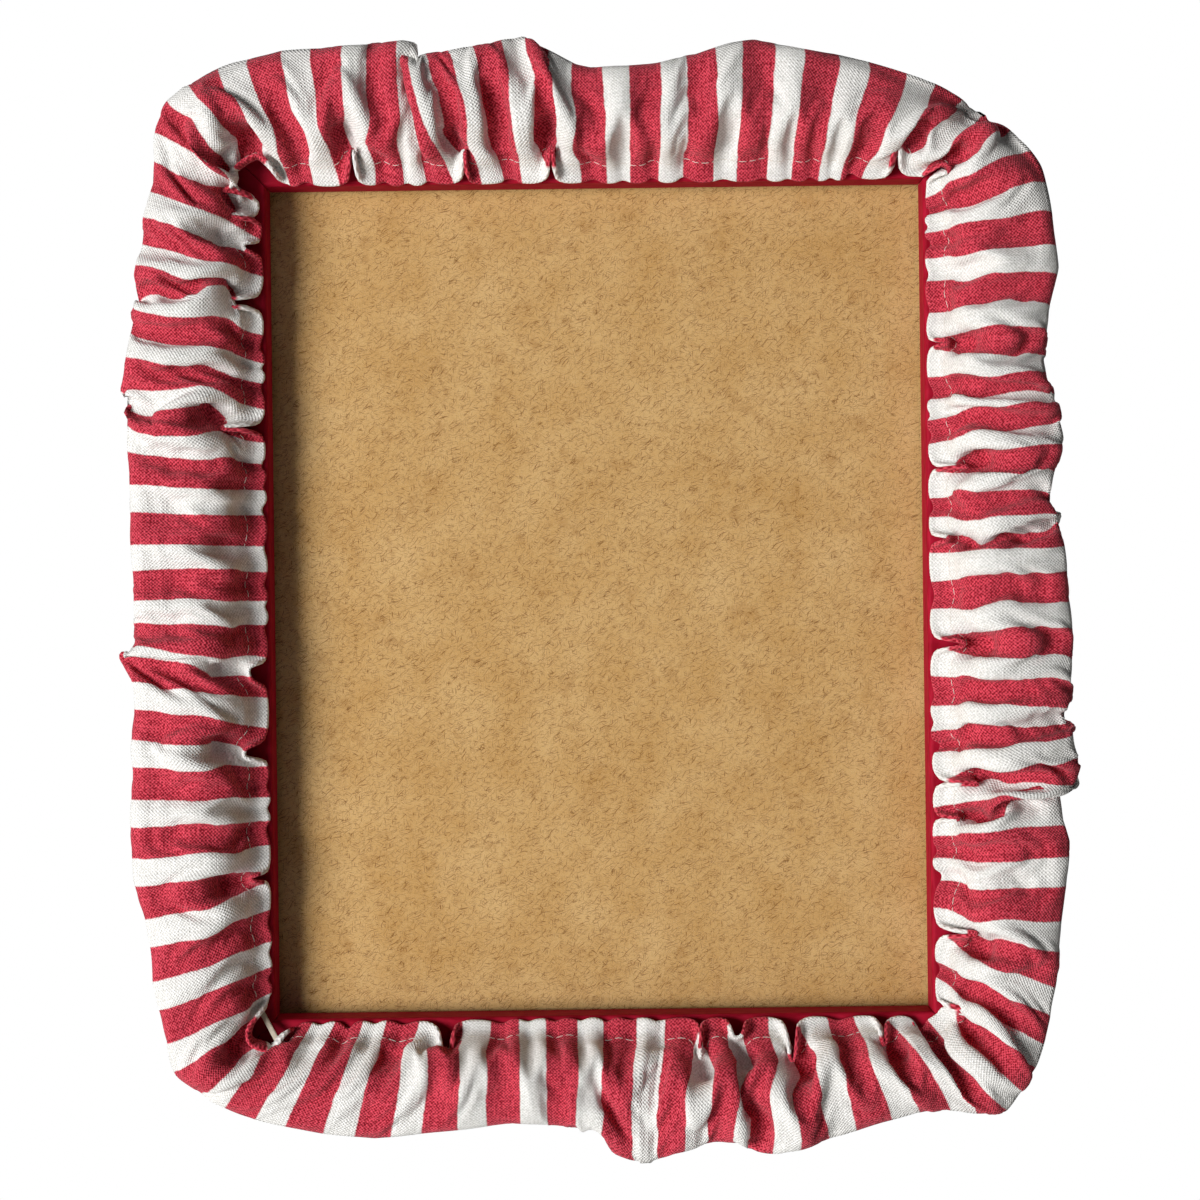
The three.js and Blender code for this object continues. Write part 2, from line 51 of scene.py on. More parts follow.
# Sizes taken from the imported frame, in millimetres
rail_low, rail_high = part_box("rail_top")
side_low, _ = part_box("rail_right")
SIGHT_HALF_WIDTH = side_low[0] / MM
SIGHT_HALF_HEIGHT = rail_low[2] / MM
RAIL_FRONT = rail_low[1] / MM
RAIL_BACK = rail_high[1] / MM
RAIL_WIDTH = (rail_high[2] - rail_low[2]) / MM

# The sides, clockwise as the viewer sees them, and half the length of each sight edge
SIDES = ["top", "right", "bottom", "left"]
HALF = dict(zip(SIDES, [SIGHT_HALF_WIDTH, SIGHT_HALF_HEIGHT] * 2))

# The photograph, in millimetres: where the camera stood, its roll in radians, and the width that it sees at
# the rails' front face
CAMERA_DISTANCE = 552.0
CAMERA_RIGHT = 0.3
CAMERA_DOWN = 0.3
VIEW_WIDTH = 347.4
SENSOR_WIDTH = 36.0
CAMERA_ROLL = math.radians(0.7)

# The studio, in metres and watts: a key lamp at the left and a rear lamp above. The last two are strengths:
# of the floor's own light as it is seen, and of the world's light on the object.
LAMP_DISTANCE = 2.4
KEY_TOWARD = (-0.67, -0.74, -0.08)
KEY_SIZE = 1.2
KEY_POWER = 70
REAR_TOWARD = (0.3, 0.9, 0.4)
REAR_SIZE = 1.6
REAR_POWER = 45
FLOOR_HALF_WIDTH = 4.0
FLOOR_FRONT = -4.0
FLOOR_BACK = 2.2
FLOOR_LEVEL = -1.1
FLOOR_GLOW = 0.65
WORLD_LIGHT = 0.032

# The cover's flat cloth, in millimetres: stripes, the steps between points, and widths in front and behind
STRIPE_PAIR = 20.0
COLUMN_STEP = 1.0
ROW_STEP = 1.4
FRONT_WIDTH = 44.8
BACK_WIDTH = 42.0

# The hem, its stitches and the elastics, in millimetres
HEM_TURN = 5.6
HEM_THICKNESS = 1.3
STITCH_LINE = 5.6
STITCH_PITCH = 3.4
STITCH_LENGTH = 2.7
STITCH_RADIUS = 0.1
ELASTIC_WIDTH = 1.6
ELASTIC_THICKNESS = 0.5
CASING_MIDDLE = HEM_TURN / 2
BACK_ELASTIC_INSET = 0.7

# Places along the cloth, in millimetres: the joining seam, and where the elastic is bare
SEAM_PLACE = 850.0
SEAM_WIDTH = 5.0
SEAM_HEIGHT = 0.7
BARE_ELASTIC = (988.0, 1010.0)

# Heights over the rails' front face, the back hem's place, the least gap between cloth and timber, and how
# far past a rail's edge that holds, in millimetres
HEM_HEIGHT = 1.6
CREST_HEIGHT = 11.5
RIM_HEIGHT = 10.5
RIM_DEPTH = RAIL_FRONT - RIM_HEIGHT
BACK_HEM_OUT = RAIL_WIDTH - 3.2
BACK_HEM_BEHIND = 1.6
CLOTH_CLEARANCE = 0.7
RAIL_MARGIN = 1

# Spare cloth: shares of the way that it has to go, and millimetres on top in front. FLAT_SHARE is how far
# cloth reaches between pinches, MOST_TAKEN the most that a pinch takes up.
FRONT_SLACK = 1.01
FRONT_SPARE = 3.2
BACK_SLACK = 1.02
FLAT_SHARE = 0.97
MOST_TAKEN = 0.8

# Folds: lengths in millimetres, angles in radians, MOST_LEAN as a sine. Narrowness is an exponent, 1 for an
# even fold. WAVE_SHARE of the spare length goes into a broad wave whose width is over LITTLE_SPARE of its
# cloth, and waves lose RIM_CALM of their height at the rim.
SLIGHT_PINCH = 4
SLIGHT_DRAW = 0.6
SLIGHT_SPACING = 0.7 * STRIPE_PAIR
MOST_LEAN = 0.95
PINCH_HALF_WIDTH = 4.5
PINCH_NARROW = 0.55
WAVE_NARROW = 0.9
WAVE_SHARE = 0.7
WAVE_SPREAD = 25
LITTLE_SPARE = (0.55, 0.8)
RIM_CALM = 0.6
FOLD_DEEPEST = 9
FOLD_STEEPEST = 2.1
HEM_FOLD_DEPTH = 7.0
HEM_FOLD_SHARE = 0.12
CREST_FORWARD = 0.8
PLEAT_HALF_WIDTH = 4.5
PLEAT_REACH = 12
PLEAT_SINK = 0.3

# Widths of blurs, in millimetres
HEM_BLUR = 1.5
RIM_BLUR = 4
WIDTH_BLUR = 10
SIDE_BLUR = 6
THREAD_BLUR = 4
ELASTIC_BLUR = 3

# Where these start and end, in millimetres from the hem: pinches lose their lean and widen, folds drift to
# their place at the rim and loosen to waves, pleats lap, and the hem's flat folds rise
LEAN_FADE = (2, 24)
NARROW_FADE = (2, 16)
FOLD_DRIFT = (6, FRONT_WIDTH)
LOOSENING = (10, 36)
LAPPING = (5, 16)
FOLD_RISE = (1, 14)

# The same as shares of the front: the cloth rises to its crest, sinks to the rim, and the waves calm. As
# shares of the back: it falls behind the rails, and turns in to the back hem.
CREST_RISE = (0.06, 0.36)
RIM_FALL = (0.55, 1.1)
CALMING = (0.55, 1)
BACK_FALL = (-0.12, 0.75)
BACK_TURN = (0.25, 1)

# Hem curls at pinches and bays: lengths in millimetres, angles in radians. A curled pinch leans by
# CURL_LEAN of a flat one's lean. Curls grow with the nearness to a pinch, bays with the recess.
CURL_START = 4.5
CURL_END = 8.5
CURL_ANGLE = 1.65
CURL_LEAN = 0.4
CURL_NEARNESS = (0.1, 0.6)
CORNER_SWEEP = 30.0
CORNER_HALF_WIDTH = 5.0
BAY_ANGLE = 1.3
BAY_RECESS = (0.6, 2.5)

# Settling: steps, the first step's swell, and how firmly the hem, the rim (across, deep, up) and the back
# hem stay. Then how hard threads and squares are pulled to shape, where bends open out, the least share of
# its length that cloth is crowded to at the hem and beyond, and a small unevenness. Lengths, and distances
# from the hem, are in millimetres.
RELAX_STEPS = 320
PUFF = 0.012
HEM_HOLD = 0.4
HEM_HOLD_FADE = (1, 10)
RIM_HOLD = (0.4, 0.25, 0.4)
BACK_HOLD = 0.5
STRETCH_PULL = 0.8
SHEAR_PULL = 0.25
OPENING = (4, 14)
CROWDED_AT_HEM = 0.4
CROWDED_BEYOND = 0.75
CROWDING = (0, 14)
UNEVEN_HEIGHT = 0.1
UNEVEN_WIDTH = 5.0

# One row for each red stripe, clockwise from the top left corner: where its middle meets the hem and the
# rim, in millimetres along the side from its middle (past its end, CORNER_SWEEP stands for 45 degrees round
# the corner), where its pinch lies in stripe pairs from the stripe's middle, and how far the hem draws back
# at that pinch. A fifth value is where the pinch's fold meets the rim, in stripe pairs from the stripe's
# middle, and a sixth how far the fold laps: over the cloth before it, or after it where the value is
# negative.
STRIPES = {
    "top": [
        (-95, -113, 0.1, 1, 0), (-84.5, -95, 0, 1), (-70, -76, 0.25, 7, 0), (-58.5, -59, -0.1, 1.5),
        (-44.5, -56, -0.25, 1, -0.45, 6), (-35, -46, -0.32, 6, -0.2), (-23.5, -30, -0.1, 1),
        (-12, -16, 0, 6.5, -0.4), (0, -2.5, 0, 1), (15, 16, 0.13, 2), (30, 31.5, -0.27, 2),
        (46, 47.5, 0.2, 1), (61.5, 66, 0.1, 1.5), (75, 85, -0.07, 2), (86.5, 106, 0.05, 9, 0),
    ],
    "right": [
        (-119, -144, 0.1, 5, 0), (-113, -123.5, 0.2, 1), (-101, -105, -0.08, 2.5), (-86, -87, 0.2, 1),
        (-72, -71.5, -0.08, 4.5, 0), (-59.5, -60.5, 0.15, 2, 0.5, 5), (-46.5, -55, 0, 1),
        (-36, -39, -0.1, 8, 0), (-26, -23.5, 0, 1), (-15.5, -17.5, -0.24, 4, -0.4, -5), (0.5, -3, 0, 1),
        (14, 16, 0, 6.5, 0), (28, 31, 0.1, 1), (44, 37, 0, 3, -0.5), (53, 51.5, 0, 11, 0.4),
        (64, 58.5, 0.18, 5, 0.1, -8), (72.5, 71, 0.1, 1), (86.5, 90, -0.4, 2.5), (98.5, 109, -0.04, 8, 0),
        (108, 128.5, 0, 1), (119, 144.5, 0, 7, 0),
    ],
    "bottom": [
        (-93, -115, 0, 3, 0), (-80, -97, 0.08, 5.5, 0), (-68, -77.5, 0, 1), (-54, -59, 0.05, 8.5, -0.2),
        (-43, -45, 0.45, 4, 0.1, 5), (-30.5, -35.5, 0.45, 9, 0.2), (-23, -17.5, 0.4, 1),
        (-4, -5, 0.2, 2, 0.35, 7), (12.5, 12, 0.1, 1), (29.5, 29, 0, 1), (44, 48, 0.2, 10, 0.2),
        (59, 68, 0, 1.5), (74, 87, 0, 3.5), (89, 109.5, 0.1, 1),
    ],
    "left": [
        (-120, -144, 0, 1, 0), (-109.5, -122.5, 0, 1), (-93, -104, 0, 1), (-78, -86, 0, 4, 0),
        (-66.5, -68.5, 0.1, 1), (-52, -52, -0.1, 1), (-39, -33, -0.46, 5, 0), (-24, -19, 0.43, 4, 0.1, 5),
        (-10, -10, 0.2, 1), (5, 5, 0, 1), (21, 22, 0.38, 2), (37, 40, 0.2, 1), (49, 57, 0.17, 11, 0.4),
        (60.5, 67.5, 0.2, 1, -0.3, -5), (73, 84, 0, 1.5), (87, 95, -0.07, 8.5, -0.3, -5),
        (97.5, 107, 0.44, 4, -0.3), (110, 124, 0.2, 6, 0.2), (119.5, 144, 0.1, 3, 0.1),
    ],
}

# How far the rim stands out from the sight edge, by place along each side, in millimetres
OUTLINE = {
    "top": [
        (-118, 37), (-100, 37), (-90, 39.3), (-70, 40.3), (-57, 41.3), (-53, 36.5), (-45, 38), (-30, 40.5),
        (-20, 43), (-15, 39.5), (-10, 37), (-5, 34.5), (0, 33.5), (10, 33.5), (20, 34.6), (30, 37),
        (40, 39.8), (47, 41), (52, 39.8), (60, 38), (70, 36.5), (80, 34), (90, 31), (97, 29), (108, 28.2),
        (120, 29),
    ],
    "right": [
        (-150, 29), (-142, 31.3), (-135, 31.5), (-124, 35.4), (-110, 37.5), (-94, 39.1), (-82, 36),
        (-68, 34.4), (-62, 35), (-58, 37), (-45, 40), (-33, 36.5), (-27, 35.7), (-21, 38), (-10, 40.2),
        (0, 40.8), (13, 42), (27, 41), (35, 39.8), (47, 42.6), (55, 42.5), (58, 37.5), (66, 38.3),
        (72, 40.5), (85, 39.1), (95, 37.5), (112, 36), (120, 34.2), (133, 33.4), (148, 34.3),
    ],
    "bottom": [
        (-119, 36), (-112, 33), (-105, 30), (-99, 28.5), (-90, 29.3), (-80, 32), (-70, 35), (-60, 38),
        (-48, 40.8), (-45, 40.7), (-39, 36.8), (-30, 37.2), (-20, 40), (-14, 42.5), (-8, 42.3), (-3, 41),
        (1, 34), (8, 32.5), (20, 31.2), (26, 30.8), (40, 32.3), (60, 34.3), (67, 34.9), (82, 33.2),
        (97, 30), (105, 29.4), (115, 29.8),
    ],
    "left": [
        (-150, 31.5), (-140, 33.7), (-128, 32), (-120, 33), (-110, 35.3), (-100, 35.8), (-92, 37),
        (-80, 40.5), (-62, 41.3), (-48, 40.2), (-42, 40.8), (-28, 39.3), (-23, 39.5), (-17, 43.2),
        (-11, 39), (0, 39.3), (20, 40.2), (38, 40.2), (45, 41), (55, 40.3), (65, 42), (75, 40), (90, 37.5),
        (96, 37.9), (105, 36), (112, 35), (122, 32.3), (130, 33), (140, 36), (148, 37),
    ],
}

# How far the hem draws back at the corner where each side starts, in millimetres
CORNER_RECESS = {"top": 3.2, "right": 0.5, "bottom": 0.5, "left": 2.8}

# How far the hem lies back from the sight edge along each side, in millimetres
HEM_SET_BACK = {"top": 0.7, "right": 1.6, "bottom": 1.8, "left": 1.8}


def linear(hex_colour):
    """An sRGB hex colour as linear red, green, blue and 1."""
    channels = np.array([int(hex_colour[i:i + 2], 16) for i in (1, 3, 5)]) / 255
    values = np.where(channels <= 0.04045, channels / 12.92, ((channels + 0.055) / 1.055) ** 2.4)
    return (*values.tolist(), 1.0)


def smooth_share(low, high, value):
    """0 below low, 1 above high, and an even S between them."""
    share = np.clip((value - low) / (high - low), 0, 1)
    return share * share * (3 - 2 * share)


def unit(vectors):
    """The vectors at length 1."""
    return vectors / np.linalg.norm(vectors, axis=-1, keepdims=True)


# Places round the frame

def lengths_before(margin):
    """Distance round the frame to each side's start, and all the way, with margin added at both ends."""
    spans = [2 * HALF[side] + 2 * margin for side in SIDES]
    return np.concatenate([[0], np.cumsum(spans)])


def round_places(table, column, margin):
    """One column of a table of places, as distances clockwise round the frame from the top left corner."""
    starts = lengths_before(margin)
    middles = {side: starts[i] + HALF[side] + margin for i, side in enumerate(SIDES)}
    return np.array([middles[side] + row[column] for side in SIDES for row in table[side]])


def plan_point(place, out, margin):
    """Plan point beside the frame: straight out from its side or, within the margin at a side's end, swung
    round the corner by an angle that grows evenly to 45 degrees. Returns X, Z and the outward direction."""
    starts = lengths_before(margin)
    place = np.mod(place, starts[-1])
    side = np.clip(np.searchsorted(starts, place, side="right") - 1, 0, 3)
    half = np.array([HALF[name] for name in SIDES])
    across = np.array([HALF[SIDES[(i + 1) % 4]] for i in range(4)])
    along = place - starts[side] - half[side] - margin
    past = np.sign(along) * np.maximum(np.abs(along) - half[side], 0)
    swing = past / max(margin, 1e-9) * math.pi / 4
    straight = np.clip(along, -half[side], half[side])
    turn = side * math.pi / 2 + swing
    base = side * math.pi / 2
    corner_x = straight * np.cos(base) + across[side] * np.sin(base)
    corner_z = -straight * np.sin(base) + across[side] * np.cos(base)
    direction = np.stack([np.sin(turn), np.cos(turn)], axis=-1)
    return np.stack([corner_x, corner_z], axis=-1) + direction * np.asarray(out)[..., None], direction


def ring_gap(places, marks, around):
    """Each place's distance from each mark on a ring, the shorter way round and negative before it."""
    return (places[:, None] - marks + around / 2) % around - around / 2


def smooth_ring(values, step, width):
    """Values at even steps round a ring, blurred by a bell curve of that width."""
    count = len(values)
    wave = np.fft.rfftfreq(count, d=step)
    bell = np.exp(-2 * (math.pi * width * wave) ** 2)
    shape = (-1,) + (1,) * (values.ndim - 1)
    return np.fft.irfft(np.fft.rfft(values, axis=0) * bell.reshape(shape), n=count, axis=0)


def ring_map(cloth, knots, places, total_cloth, total_place, width):
    """Place round the frame for each distance along the cloth: straight between the knots, then blurred."""
    knots = np.concatenate([knots - total_cloth, knots, knots + total_cloth])
    places = np.concatenate([places - total_place, places, places + total_place])
    trend = cloth / total_cloth * total_place
    step = cloth[1] - cloth[0]
    return trend + smooth_ring(np.interp(cloth, knots, places) - trend, step, width)


# Gathered cover

def fold_tables(narrow):
    """A fold's heading across one half of its width swings as a sine and back. For a row of greatest
    headings, the share of cloth that is left as width, and the depth per length of cloth."""
    steps = np.linspace(0, 1, 400)
    swing = np.sin(math.pi * steps ** narrow)
    headings = np.linspace(0, FOLD_STEEPEST, 120)
    angle = headings[:, None] * swing
    return headings, np.cos(angle).mean(axis=1), np.sin(angle).mean(axis=1)


def fold_row(cloth, plan, pinches, lean, narrow, ease):
    """One row of the cover. Between two crests the cloth heads down into its pinch and up again, with the
    heading that takes up its spare length, or only a share of it, ease, where there is little. Each
    pinch leans outward by its angle. Returns the plan points, the height above the deepest pinch, the
    outward shift, and how near each point is to its pinch (1 there, 0 at the crests)."""
    step = cloth[1] - cloth[0]
    total = len(cloth) * step
    closed = np.concatenate([plan, plan[:1]])
    walked = np.concatenate([[0], np.cumsum(np.linalg.norm(np.diff(closed, axis=0), axis=-1))])
    around = walked[-1]

    def row_place(distance):
        lap = np.floor(distance / total)
        return lap * around + np.interp(distance - lap * total, np.append(cloth, total), walked)

    before = np.roll(pinches, 1)
    before[0] -= total
    starts = (before + pinches) / 2
    ends = np.append(starts[1:], starts[0] + total)
    span = row_place(ends) - row_place(starts)
    headings, kept, deep = fold_tables(narrow)
    width_share = span / (ends - starts)
    taken = 1 - (1 - ease) * smooth_share(*LITTLE_SPARE, width_share)
    heading = np.interp((1 - width_share) * taken - 1, -kept, headings)
    depth = np.minimum(np.interp(heading, headings, deep) * (ends - starts) / 2, FOLD_DEEPEST)
    drop = depth * np.cos(lean)
    crest = np.maximum(drop, np.roll(drop, 1))

    here = np.where(cloth < starts[0], cloth + total, cloth)
    cell = np.clip(np.searchsorted(starts, here, side="right") - 1, 0, len(pinches) - 1)
    half = np.where(here < pinches[cell], pinches[cell] - starts[cell], ends[cell] - pinches[cell])
    share = np.clip(np.abs(here - pinches[cell]) / half, 0, 1)

    grid = np.linspace(0, 1, 200)
    angle = heading[:, None] * np.sin(math.pi * grid ** narrow)
    nothing = np.zeros((len(pinches), 1))
    width = np.concatenate([nothing, np.cumsum(np.cos(angle), axis=1)[:, :-1]], axis=1)
    rise = np.concatenate([nothing, np.cumsum(np.sin(angle) + 1e-9, axis=1)[:, :-1]], axis=1)
    slot = share * (len(grid) - 1)
    low = np.minimum(slot.astype(int), len(grid) - 2)
    part = slot - low

    def across(table):
        table = table / table[:, -1:]
        return table[cell, low] * (1 - part) + table[cell, low + 1] * part

    nearness = 1 - across(rise)
    first = row_place(starts)
    middle = first + span * (pinches - starts) / (ends - starts)
    reach = np.where(here < pinches[cell], (middle - first)[cell], (row_place(ends) - middle)[cell])
    along = np.mod(middle[cell] + np.sign(here - pinches[cell]) * across(width) * reach, around)
    folded = np.stack([np.interp(along, walked, closed[:, i]) for i in range(2)], axis=-1)
    ramp = smooth_share(starts[cell], ends[cell], here)
    level = crest[cell] * (1 - ramp) + np.roll(crest, -1)[cell] * ramp
    return folded, level - drop[cell] * nearness, (depth * np.sin(lean))[cell] * nearness, nearness


def pinch_places(total):
    """Every pinch of the hem along the cloth, how far it draws back, and for each stripe's fold its ends at
    hem and rim and how far it laps. Where two neighbouring pinches are both slight, a third lies between
    them."""
    rows = [row for side in SIDES for row in STRIPES[side]]
    stripe = np.arange(len(rows))
    place = (stripe + np.array([row[2] for row in rows])) * STRIPE_PAIR
    draw = np.array([float(row[3]) for row in rows])
    following = np.append(place[1:], place[0] + total)
    slight = (np.maximum(draw, np.roll(draw, -1)) < SLIGHT_PINCH) & (following - place > SLIGHT_SPACING)
    between = ((place + following) / 2)[slight]
    everywhere = np.concatenate([place, between])
    draws = np.concatenate([draw, np.full(len(between), SLIGHT_DRAW)])
    order = np.argsort(everywhere)
    at_rim = (stripe + np.array([row[4] if len(row) > 4 else row[2] for row in rows])) * STRIPE_PAIR
    lap = np.array([row[5] if len(row) > 5 else 0.0 for row in rows])
    return everywhere[order], draws[order], place, at_rim, lap


def gathered_places(cloth, knots, places, pinches, draws, total, around):
    """Place along the hem for each distance along the cloth. Between two stripes the cloth lies almost
    flat, and its spare length is taken up round the pinches that draw back most."""
    gap = ring_gap(cloth, pinches, total)
    tight = np.where(draws >= SLIGHT_PINCH, np.exp(-(gap / PINCH_HALF_WIDTH) ** 2), 0).max(axis=1)
    stripe = np.minimum((cloth / STRIPE_PAIR).astype(int), len(knots) - 1)
    span = np.diff(np.append(places, places[0] + around))
    count = np.bincount(stripe, minlength=len(knots))
    tightness = np.bincount(stripe, weights=tight, minlength=len(knots)) / count * STRIPE_PAIR
    spare = FLAT_SHARE * STRIPE_PAIR - span
    take = np.clip(spare / (FLAT_SHARE * np.maximum(tightness, 1e-6)), 0, MOST_TAKEN)
    share = span / (STRIPE_PAIR - take * tightness)
    density = share[stripe] * (1 - take[stripe] * tight)
    step = cloth[1] - cloth[0]
    place = places[0] + np.concatenate([[0], np.cumsum(density * step)[:-1]])
    trend = cloth / total * around
    return trend + smooth_ring(place - trend, step, HEM_BLUR)


def curled_hem(distance, steepness):
    """Where the hem turns up at a pinch: how far the row at that distance from its edge is set back outward
    and raised toward the eye, when the cloth's heading swings from level to that steepness on the way to
    the edge."""
    width = max(CURL_END - distance, 0)
    between = np.linspace(CURL_END - width, CURL_END, 24)[:, None]
    heading = steepness * (1 - smooth_share(CURL_START, CURL_END, between))
    return width * (1 - np.cos(heading)).mean(axis=0), width * np.sin(heading).mean(axis=0)


def cover_start():
    """Where the cover's rows lie before it settles: gathered at the hem, fanned to the rim, and back behind
    the rails. Returns points [row, column, XYZ] in millimetres, the rows' flat distances from the hem,
    the lengths of cloth from the hem to each point, how near each point is to a lapping pleat, and the
    cloth's length."""
    total = sum(len(rows) for rows in STRIPES.values()) * STRIPE_PAIR
    columns = int(round(total / COLUMN_STEP))
    cloth = np.arange(columns) * (total / columns)
    step = cloth[1]
    knots = np.arange(0, total, STRIPE_PAIR)
    hem_total = lengths_before(0)[-1]
    rim_total = lengths_before(CORNER_SWEEP)[-1]
    pinches, draws, fold_at_hem, fold_at_rim, lap = pinch_places(total)
    hem_knots = round_places(STRIPES, 0, 0)
    hem_place = gathered_places(cloth, knots, hem_knots, pinches, draws, total, hem_total)
    rim_place = ring_map(cloth, knots, round_places(STRIPES, 1, CORNER_SWEEP), total, rim_total, RIM_BLUR)
    outline_place = round_places(OUTLINE, 0, CORNER_SWEEP)
    outline_reach = np.array([row[1] for side in SIDES for row in OUTLINE[side]])
    reach = np.interp(rim_place, outline_place, outline_reach, period=rim_total)
    front_width = smooth_ring(FRONT_SLACK * reach + FRONT_SPARE, step, WIDTH_BLUR)
    nearer = (CAMERA_DISTANCE + RIM_DEPTH - RAIL_FRONT) / CAMERA_DISTANCE
    rim = plan_point(rim_place, reach, CORNER_SWEEP)[0] * nearer
    hem, hem_out = plan_point(hem_place, np.zeros(columns), 0)
    hem_out = unit(smooth_ring(hem_out, step, SIDE_BLUR))
    back_hem = hem + hem_out * BACK_HEM_OUT
    corner = ring_gap(hem_place, lengths_before(0)[:4], hem_total)
    recess = np.exp(-(corner / CORNER_HALF_WIDTH) ** 2) @ np.array([CORNER_RECESS[side] for side in SIDES])
    beside = np.searchsorted(lengths_before(0), np.mod(hem_place, hem_total), side="right") - 1
    set_back = smooth_ring(np.array([HEM_SET_BACK[side] for side in SIDES])[beside], step, SIDE_BLUR)
    hem = hem + hem_out * (recess + set_back)[:, None]
    flat = np.arange(int(round((FRONT_WIDTH + BACK_WIDTH) / ROW_STEP)) + 1) * ROW_STEP
    nearest = np.argmin(np.abs(ring_gap(cloth, pinches, total)), axis=1)
    strong = draws >= SLIGHT_PINCH
    lean = np.arcsin(np.clip(np.where(strong, CURL_LEAN, 1) * draws / HEM_FOLD_DEPTH, 0, MOST_LEAN))
    turned_up = np.where(strong, CURL_ANGLE * np.clip(draws / HEM_FOLD_DEPTH, 0, 1), 0)
    at_pinch = fold_row(cloth, hem, pinches, lean, PINCH_NARROW, 1)[3]
    steepness = turned_up[nearest] * smooth_share(*CURL_NEARNESS, at_pinch)
    steepness = np.maximum(steepness, BAY_ANGLE * smooth_share(*BAY_RECESS, recess))

    rows = []
    pleats = []
    for distance in flat[flat <= FRONT_WIDTH]:
        share = distance / FRONT_WIDTH
        plan = hem + (rim - hem) * share
        upright = 1 - smooth_share(*LEAN_FADE, distance)
        narrow = PINCH_NARROW + (1 - PINCH_NARROW) * smooth_share(*NARROW_FADE, distance)
        fine, fine_height, shift, nearness = fold_row(cloth, plan, pinches, lean * upright, narrow, 1)
        folds = fold_at_hem + (fold_at_rim - fold_at_hem) * smooth_share(*FOLD_DRIFT, distance)
        broad, broad_height, _, _ = fold_row(cloth, plan, folds, 0 * folds, WAVE_NARROW, WAVE_SHARE)
        loose = smooth_share(*LOOSENING, distance)
        behind = ring_gap(cloth, folds, total)
        lapping = smooth_share(*LAPPING, distance) * lap
        under = np.exp(-(behind / PLEAT_HALF_WIDTH) ** 2)
        forward = unit(np.roll(plan, -2, axis=0) - np.roll(plan, 2, axis=0))
        broad = broad + forward * (under @ lapping)[:, None]
        broad_height = broad_height - under @ np.abs(lapping) * PLEAT_SINK
        pleats.append((np.exp(-(behind / PLEAT_REACH) ** 2) * (lapping != 0)).max(axis=1))
        folded = fine * (1 - loose) + broad * loose + hem_out * (shift * (1 - loose))[:, None]
        drawn, raised = curled_hem(distance, steepness)
        folded += hem_out * (drawn - CREST_FORWARD * (1 - nearness) * upright)[:, None]
        low_hem = HEM_FOLD_SHARE + (1 - HEM_FOLD_SHARE) * smooth_share(*FOLD_RISE, distance)
        calm = 1 - RIM_CALM * smooth_share(*CALMING, share)
        swell = (broad_height - smooth_ring(broad_height, step, WAVE_SPREAD)) * calm
        height = fine_height * low_hem * (1 - loose) + swell * loose
        mean = HEM_HEIGHT + (CREST_HEIGHT - HEM_HEIGHT) * smooth_share(*CREST_RISE, share)
        mean -= (CREST_HEIGHT - RIM_HEIGHT) * smooth_share(*RIM_FALL, share)
        rows.append(np.stack([folded[:, 0], RAIL_FRONT - mean - height - raised, folded[:, 1]], axis=-1))
    last = rows[-1]
    rim_wave = last[:, 1] - RIM_DEPTH
    for distance in flat[flat > FRONT_WIDTH]:
        share = (distance - FRONT_WIDTH) / BACK_WIDTH
        turned_in = smooth_share(*BACK_TURN, share)
        plan = last[:, [0, 2]] * (1 - turned_in) + back_hem * turned_in
        level = RIM_DEPTH + (RAIL_BACK + BACK_HEM_BEHIND - RIM_DEPTH) * smooth_share(*BACK_FALL, share)
        rows.append(np.stack([plan[:, 0], level + rim_wave * (1 - share), plan[:, 1]], axis=-1))
    behind_rim = np.stack(rows[int(round(FRONT_WIDTH / ROW_STEP)):])
    around_back = np.linalg.norm(np.diff(behind_rim, axis=0), axis=-1).sum(axis=0)
    back_width = BACK_SLACK * smooth_ring(around_back, step, SIDE_BLUR)
    from_hem = np.where(flat[:, None] <= FRONT_WIDTH, flat[:, None] * front_width / FRONT_WIDTH,
                        front_width + (flat[:, None] - FRONT_WIDTH) * back_width / BACK_WIDTH)
    pleats = np.stack(pleats + [pleats[-1]] * (len(rows) - len(pleats)))
    return np.stack(rows), flat, from_hem, pleats, total


